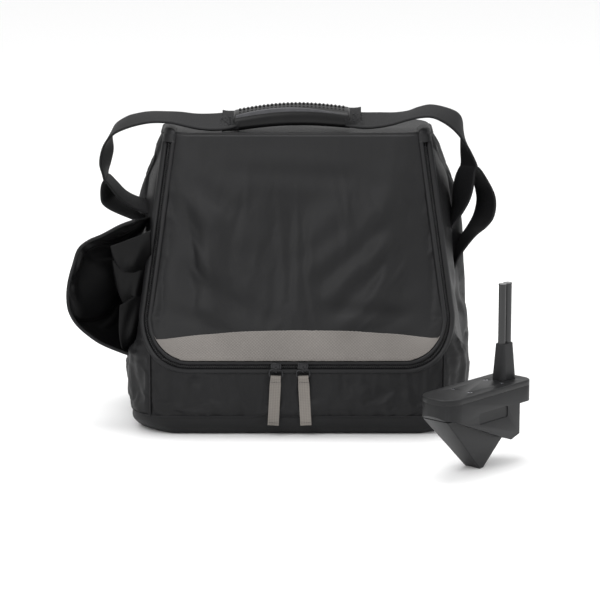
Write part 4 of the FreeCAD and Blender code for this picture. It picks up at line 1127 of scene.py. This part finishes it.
def build_grip():
    rubber = hard_material("Grip rubber", (0.0045, 0.0045, 0.0048), 0.34, 0.00005, grain=90.0, rub=0.20, shine=0.20)

    def place(u, v):
        share = between(-0.02, 1.02, u)
        ends = min(1.0, math.sin(math.pi * max(0.0, min(1.0, u))) * 9.0) ** 0.5
        middle = grip_line(max(0.0, min(1.0, share)))
        fat = 1.0 + 0.10 * math.sin(math.pi * max(0.0, min(1.0, u)))
        wide, tall = squared(math.tau * v, 0.72)
        side, rise = wide * GRIP_HALF_WIDE, tall * GRIP_HALF_TALL * fat
        flat = between(0.90, 1.0, ends)
        return middle + Vector((0.0, side * flat * ends ** 0.5, (rise + GRIP_TILT * side) * flat * max(0.02, ends)))

    bm = sheet_mesh(120, 48, place, GRIP_LONG, 0.08, None, merge=True)
    point_outwards(bm, grip_line(0.5))
    grip = make_piece("grip_skin", bm, rubber, "strap", ("grip_cover",))
    ribs = bmesh.new()
    count = sizes().grip_ribs
    for n in range(count):
        share = between(0.06, 0.94, n / (count - 1))
        at = grip_line(share)
        fat = 1.0 + 0.10 * math.sin(math.pi * share)
        ahead = grip_line(min(1.0, share + 0.01)) - at
        pitch = math.atan2(ahead.z, ahead.x)
        for side, low in ((0.0050, 0.0002), (-0.0025, 0.0010)):
            centre = at + Vector((0.0, side, GRIP_HALF_TALL * fat - low + GRIP_TILT * side))
            matrix = Matrix.Translation(centre) @ Matrix.Rotation(-pitch, 4, "Y")
            rounded_box(ribs, 0.0026, 0.0062, 0.0026, matrix, 0.0010, 2)
    make_piece("grip_ribs", ribs, rubber, "strap")
    webbing = cloth("Strap webbing")
    for name, share, reach in (("left", 0.0, -1.0), ("right", 1.0, 1.0)):
        at = grip_line(share)

        def sleeve(u, v, at=at, reach=reach):
            along = between(-0.006, 0.011, u) * reach
            side = squared(math.tau * v, 0.6)[0] * 0.0160 * between(1.02, 0.90, u)
            rise = squared(math.tau * v, 0.7)[1] * between(0.0072, 0.0022, smooth(u))
            return at + Vector((along, side, rise + side * between(0.168, 0.60, u)))

        sleeve_mesh = sheet_mesh(14, 40, sleeve, 0.018, 0.07, None, merge=True)
        point_outwards(sleeve_mesh, at + Vector((0.004 * reach, 0, 0)))
        cuff = make_piece(name + "_grip_cuff", sleeve_mesh, webbing, "strap")
        thicken(cuff, 0.0008)
        add_box_stitch(name + "_grip_stitch", at, reach)


def add_box_stitch(name, at, reach):
    """A box of stitches with a cross in it, on the strap beside the grip."""
    corners = [(0.003, -0.0125), (0.0125, -0.0125), (0.0125, 0.0), (0.003, 0.0)]
    runs = [(corners[n], corners[(n + 1) % 4]) for n in range(4)] + [(corners[0], corners[2]), (corners[1], corners[3])]
    bm = bmesh.new()
    for start, end in runs:
        length = math.dist(start, end)
        count = max(2, int(length / 0.0024))
        for n in range(count):
            share = (n + 0.5) / count
            along = between(start[0], end[0], share)
            side = between(start[1], end[1], share)
            rise = between(0.0066, 0.0034, smooth((along + 0.006) / 0.017))
            centre = at + Vector((along * reach, side - 0.0014, rise + side * 0.5))
            angle = math.atan2(end[1] - start[1], (end[0] - start[0]) * reach)
            turn = Matrix.Rotation(math.radians(28), 4, "X") @ Matrix.Rotation(angle, 4, "Z")
            rounded_box(bm, 0.0017, 0.0006, 0.0006, Matrix.Translation(centre) @ turn, 0.0002, 1)
    make_piece(name, bm, cloth("Sewing thread"), "strap")


# ---- side pouch ---------------------------------------------------------------------------------------
POUCH_RIM = [
    (-163.0, 214.0), (-178.0, 208.0), (-197.0, 197.5), (-210.0, 192.0), (-220.0, 184.0), (-225.0, 170.0),
    (-230.0, 152.0), (-231.5, 134.0), (-229.0, 119.0), (-221.0, 105.0), (-206.0, 91.0), (-194.0, 83.5),
    (-178.0, 77.0), (-167.5, 74.0),
]


def pouch_rim(share):
    """(x, z) of the pouch's open rim, from its top at the wall to its foot."""
    rows = spline_through([[x * MM, z * MM] for x, z in POUCH_RIM], 60)
    at = share * (len(rows) - 1)
    near = min(int(at), len(rows) - 2)
    return [between(a, b, at - near) for a, b in zip(rows[near], rows[near + 1])]


def build_pouch():
    def place(u, v):
        x, z = pouch_rim(u)
        wall = -(form_at(z)[0] + 0.0008)
        depth = between(POUCH_MOUTH_Y, POUCH_BACK_Y, v)
        shrink = between(1.0, 0.16, smooth(v) ** 0.9)
        billow = 0.010 * math.sin(math.pi * v) * math.sin(math.pi * u)
        fold = 0.0045 * math.sin(u * 19.0 + v * 3.0) * math.sin(math.pi * v) * math.sin(math.pi * u)
        fold += 0.0030 * math.sin(u * 31.0 - v * 5.0) * math.sin(math.pi * u) * smooth(v * 3.0)
        out = min(wall, wall + (x - wall) * shrink - (billow + fold) * shrink)
        low = between(z, between(0.144, z, 0.86), v)
        lag = 0.006 * math.sin(u * 9.0) * (1.0 - v)
        return Vector((out, depth + lag, low))

    bm = sheet_mesh(110, 46, place, 0.22, 0.08, POUCH_INSIDE)
    # The pouch and its fold sheets take the outer cloth darkened as painted shade.
    pouch = make_piece("pouch_cloth", bm, cloth("Pouch cloth"), "bag", ("side_pouch",))
    settle_cloth(pouch, 0.02, 0.007, frames=14, sag=0.4)
    thicken(pouch, 0.0012)
    rim = [place(n / 69, 0.0) for n in range(70)]
    tube_piece("pouch_rim", rim, 0.0017, cloth("Binding tape"), "bag", ("pouch_binding",))

    def fold_sheet(name, corners, bend):
        """A soft crease of loose cloth between four corners in millimetres, bent outwards by bend."""
        a, b, c, d = (Vector(p) * MM for p in corners)

        def fold(u, v):
            point = a.lerp(b, u).lerp(d.lerp(c, u), v)
            wave = math.sin(math.pi * u) * math.sin(math.pi * v)
            ripple = math.sin(u * 9.0 + v * 5.0) * 0.3
            hang = Vector((-2.5, 0.0, -3.0)) * MM * math.sin(math.pi * v) * (1.0 - u)
            return point + hang + Vector((0.0, -bend * MM * wave * (1.0 + ripple), 0.0))

        mesh = sheet_mesh(26, 22, fold, 0.05, 0.05, FOLD_INSIDE)
        # Painted shade: the folds use the darkened copy of the outer cloth.
        piece = make_piece(name, mesh, cloth("Pouch cloth"), "bag")
        thicken(piece, 0.0010)

    fold_sheet("pouch_top_fold", [(-189, -63, 186), (-148, -59, 201), (-148, -40, 150), (-176, -54, 158)], 6.0)
    fold_sheet("pouch_inner_fold", [(-188, -50, 168), (-148, -46, 176), (-148, -30, 96), (-176, -42, 118)], 8.0)
    fold_sheet("pouch_low_fold", [(-180, -60, 124), (-150, -40, 140), (-152, -40, 76), (-178, -66, 80)], 6.0)


# ---- sonar head ---------------------------------------------------------------------------------------
def soften_node(node, name, material, width, segments=3):
    """A copy of a hard node with its sharp edges rounded."""
    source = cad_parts[node]
    bm = bmesh.new()
    bm.from_mesh(source.data)
    bmesh.ops.remove_doubles(bm, verts=bm.verts[:], dist=MERGE_GAP)
    bmesh.ops.dissolve_limit(
        bm, angle_limit=math.radians(1.0), verts=bm.verts[:], edges=bm.edges[:], use_dissolve_boundaries=False
    )
    piece = make_piece(name, bm, material, "sonar_head", (node,))
    rounding = piece.modifiers.new("Rounded edges", "BEVEL")
    rounding.width = width
    rounding.segments = segments
    rounding.limit_method = "ANGLE"
    rounding.angle_limit = math.radians(24.0)
    rounding.use_clamp_overlap = True
    rounding.harden_normals = True


def build_head():
    casing = hard_material(
        "Head casing", tuple(colours().head), 0.46, 0.00005, rub=0.4, grain=70.0, lift=2.2, shine=0.26
    )
    boot = hard_material("Boot rubber", (0.010, 0.0102, 0.011), 0.50, rub=0.3, shine=0.26)
    soften_node("head_housing", "head_body", casing, 0.0007)
    soften_node("deck_cover", "head_deck", casing, 0.0004, 2)
    soften_node("wedge_housing", "head_wedge", casing, 0.0008)
    soften_node("cable_boot", "stem_boot", boot, 0.0010)


# name, colour, roughness, grain depth, metal, coat, grain a metre, nodes it goes on
NODE_FINISHES = [
    ("Screw steel", (0.62, 0.62, 0.64), 0.22, 0.00002, 1.0, 0.0, 400.0,
     ["deck_screws", "board_screws", "board_standoffs"]),
    ("Cable jacket", (0.014, 0.0142, 0.015), 0.38, 0.00003, 0.0, 0.0, 120.0, ["stem_cable"]),
    ("Rod gloss", (0.004, 0.004, 0.0045), 0.16, 0.00001, 0.0, 0.15, 120.0, ["stem_rod", "stem_end"]),
    ("Turned brass", (0.70, 0.52, 0.24), 0.30, 0.00002, 1.0, 0.0, 300.0,
     ["screw_inserts", "gland_nut", "battery_terminals"]),
    ("Closed foam", (0.06, 0.06, 0.065), 0.85, 0.0004, 0.0, 0.0, 160.0, ["grip_core", "floor_pad", "back_pad"]),
    ("Stiff board", (0.03, 0.03, 0.033), 0.55, 0.00006, 0.0, 0.0, 60.0, ["base_board", "power_tray"]),
    ("Battery case", (0.035, 0.035, 0.04), 0.42, 0.00004, 0.0, 0.0, 80.0, ["battery"]),
    ("Solder mask", (0.02, 0.12, 0.05), 0.35, 0.00002, 0.0, 0.0, 200.0, ["circuit_board"]),
    ("Array ceramic", (0.72, 0.68, 0.58), 0.45, 0.00002, 0.0, 0.0, 200.0, ["forward_array", "down_array"]),
    ("Cast epoxy", (0.03, 0.03, 0.03), 0.5, 0.00002, 0.0, 0.0, 200.0,
     ["forward_backing", "down_backing", "heading_sensor"]),
    ("Milled alloy", (0.72, 0.73, 0.74), 0.32, 0.00002, 1.0, 0.0, 300.0, ["heat_spreader"]),
    ("Amber film", (0.50, 0.30, 0.08), 0.3, 0.00001, 0.0, 0.0, 100.0, ["ribbon_cable"]),
    ("Seal rubber", (0.02, 0.02, 0.02), 0.6, 0.00002, 0.0, 0.0, 100.0, ["deck_gasket", "cable_seal"]),
]


def finish_nodes():
    """Gives the hard nodes that stay as they are a finish of their own."""
    chosen = {"battery_band": cloth("Strap webbing")}
    for name, colour, rough, depth, metal, coat, grain, nodes in NODE_FINISHES:
        material = hard_material(name, colour, rough, depth, metal=metal, coat=coat, grain=grain)
        chosen.update((node, material) for node in nodes)
    for node, material in chosen.items():
        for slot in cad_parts[node].material_slots:
            slot.link = "OBJECT"
            slot.material = material


# ---- stage --------------------------------------------------------------------------------------------
def area_light(name, place, target, size, power):
    light = bpy.data.lights.new(name, "AREA")
    light.shape = "RECTANGLE"
    light.size, light.size_y = size
    light.energy = power
    holder = bpy.data.objects.new(name, light)
    bpy.context.collection.objects.link(holder)
    holder.location = place
    holder.rotation_euler = (Vector(target) - Vector(place)).to_track_quat("-Z", "Y").to_euler()


def build_stage():
    scene = bpy.context.scene
    scene.view_settings.view_transform = "Standard"
    bm = bmesh.new()
    bmesh.ops.create_grid(bm, x_segments=2, y_segments=2, size=FLOOR_HALF)
    material, _, shader = new_material("Studio floor")
    shader.inputs["Base Color"].default_value = (FLOOR_SHADE, FLOOR_SHADE, FLOOR_SHADE, 1.0)
    shader.inputs["Roughness"].default_value = 0.6
    floor = make_piece("studio_floor", bm, material, None)
    for vert in floor.data.vertices:
        vert.co.z = -FLOOR_DROP
    world = bpy.data.worlds.new("Studio") if scene.world is None else scene.world
    scene.world = world
    world.use_nodes = True
    background = world.node_tree.nodes["Background"]
    background.inputs["Color"].default_value = (1.0, 1.0, 1.0, 1.0)
    background.inputs["Strength"].default_value = 1.0
    for light in LIGHTS:
        area_light(*light)
    camera_data = bpy.data.cameras.new("Camera")
    camera_data.lens = CAMERA_LENS
    camera_data.sensor_width = CAMERA_SENSOR
    camera_data.clip_end = CAMERA_CLIP
    camera = bpy.data.objects.new("Camera", camera_data)
    bpy.context.collection.objects.link(camera)
    away = Vector((0.0, -math.cos(CAMERA_DOWN), math.sin(CAMERA_DOWN))) * CAMERA_AWAY
    camera.location = CAMERA_TARGET + away
    camera.rotation_euler = (math.pi / 2 - CAMERA_DOWN, 0.0, 0.0)
    scene.camera = camera


# ---- operators ----------------------------------------------------------------------------------------
class SONAR_OT_stage(Operator):
    """Sets the floor, the lights and the camera."""

    bl_idname = "sonar_outfit.stage"
    bl_label = "Stage"

    def execute(self, context):
        build_stage()
        return {"FINISHED"}


class SONAR_OT_flap(Operator):
    """Makes the front flap and the trim along its lower edge."""

    bl_idname = "sonar_outfit.flap"
    bl_label = "Flap and trim"

    def execute(self, context):
        build_trim(build_flap())
        return {"FINISHED"}


class SONAR_OT_panels(Operator):
    """Makes the bag's walls, top and base with their seams."""

    bl_idname = "sonar_outfit.panels"
    bl_label = "Bag panels"

    def execute(self, context):
        build_front_band()
        build_side(-1.0)
        build_side(1.0)
        build_back()
        build_top()
        build_base()
        build_seams()
        return {"FINISHED"}


class SONAR_OT_zip(Operator):
    """Makes the zip's tapes, teeth and bindings, and the two sliders with their pulls."""

    bl_idname = "sonar_outfit.zip"
    bl_label = "Zip and pulls"

    def execute(self, context):
        build_binding("flap_roll", -0.0016, -0.0066, 0.0030, "flap", "flap_binding", 0.004)
        build_binding("body_roll", 0.0016, 0.0076, 0.0032, "bag", "body_binding", 0.0)
        build_tape("flap_tape", -0.0006, -0.0030, "flap", "flap_zip_tape")
        build_tape("body_tape", 0.0006, 0.0030, "bag", "body_zip_tape")
        build_end_tabs()
        build_teeth("flap_teeth", -1.0, "flap")
        build_teeth("body_teeth", 1.0, "bag")
        for side, x, lean in (("left", -0.021, 3.0), ("right", 0.006, -3.0)):
            build_slider(side, x)
            build_pull(side, x, lean)
        return {"FINISHED"}


class SONAR_OT_strap(Operator):
    """Makes the carry strap, its side loops and the padded grip."""

    bl_idname = "sonar_outfit.strap"
    bl_label = "Strap and grip"

    def execute(self, context):
        build_straps()
        build_grip()
        return {"FINISHED"}


class SONAR_OT_pouch(Operator):
    """Makes the limp side pouch."""

    bl_idname = "sonar_outfit.pouch"
    bl_label = "Side pouch"

    def execute(self, context):
        build_pouch()
        return {"FINISHED"}


class SONAR_OT_head(Operator):
    """Makes the sonar head and finishes the hard pieces."""

    bl_idname = "sonar_outfit.head"
    bl_label = "Sonar head"

    def execute(self, context):
        build_head()
        finish_nodes()
        return {"FINISHED"}


class SONAR_PT_outfit(Panel):
    """Lists the outfit's sizes, colours and makers."""

    bl_idname = "SONAR_PT_outfit"
    bl_label = "Sonar outfit"
    bl_space_type = "VIEW_3D"
    bl_region_type = "UI"
    bl_category = "Sonar outfit"

    def draw(self, context):
        layout = self.layout
        for group in (context.scene.sonar_outfit_sizes, context.scene.sonar_outfit_colours):
            for name in group.__annotations__:
                layout.prop(group, name)
        for operator in OPERATORS:
            layout.operator(operator.bl_idname)


OPERATORS = (
    SONAR_OT_stage, SONAR_OT_flap, SONAR_OT_panels, SONAR_OT_zip, SONAR_OT_strap, SONAR_OT_pouch, SONAR_OT_head,
)
CLASSES = (SonarOutfitSizes, SonarOutfitColours, *OPERATORS, SONAR_PT_outfit)


def register():
    for item in CLASSES:
        bpy.utils.register_class(item)
    bpy.types.Scene.sonar_outfit_sizes = PointerProperty(type=SonarOutfitSizes)
    bpy.types.Scene.sonar_outfit_colours = PointerProperty(type=SonarOutfitColours)


def unregister():
    del bpy.types.Scene.sonar_outfit_colours
    del bpy.types.Scene.sonar_outfit_sizes
    for item in reversed(CLASSES):
        bpy.utils.unregister_class(item)


def main():
    register()
    bpy.ops.sonar_outfit.stage()
    bpy.ops.sonar_outfit.flap()
    bpy.ops.sonar_outfit.panels()
    bpy.ops.sonar_outfit.zip()
    bpy.ops.sonar_outfit.strap()
    bpy.ops.sonar_outfit.pouch()
    bpy.ops.sonar_outfit.head()


if __name__ == "__main__":
    main()
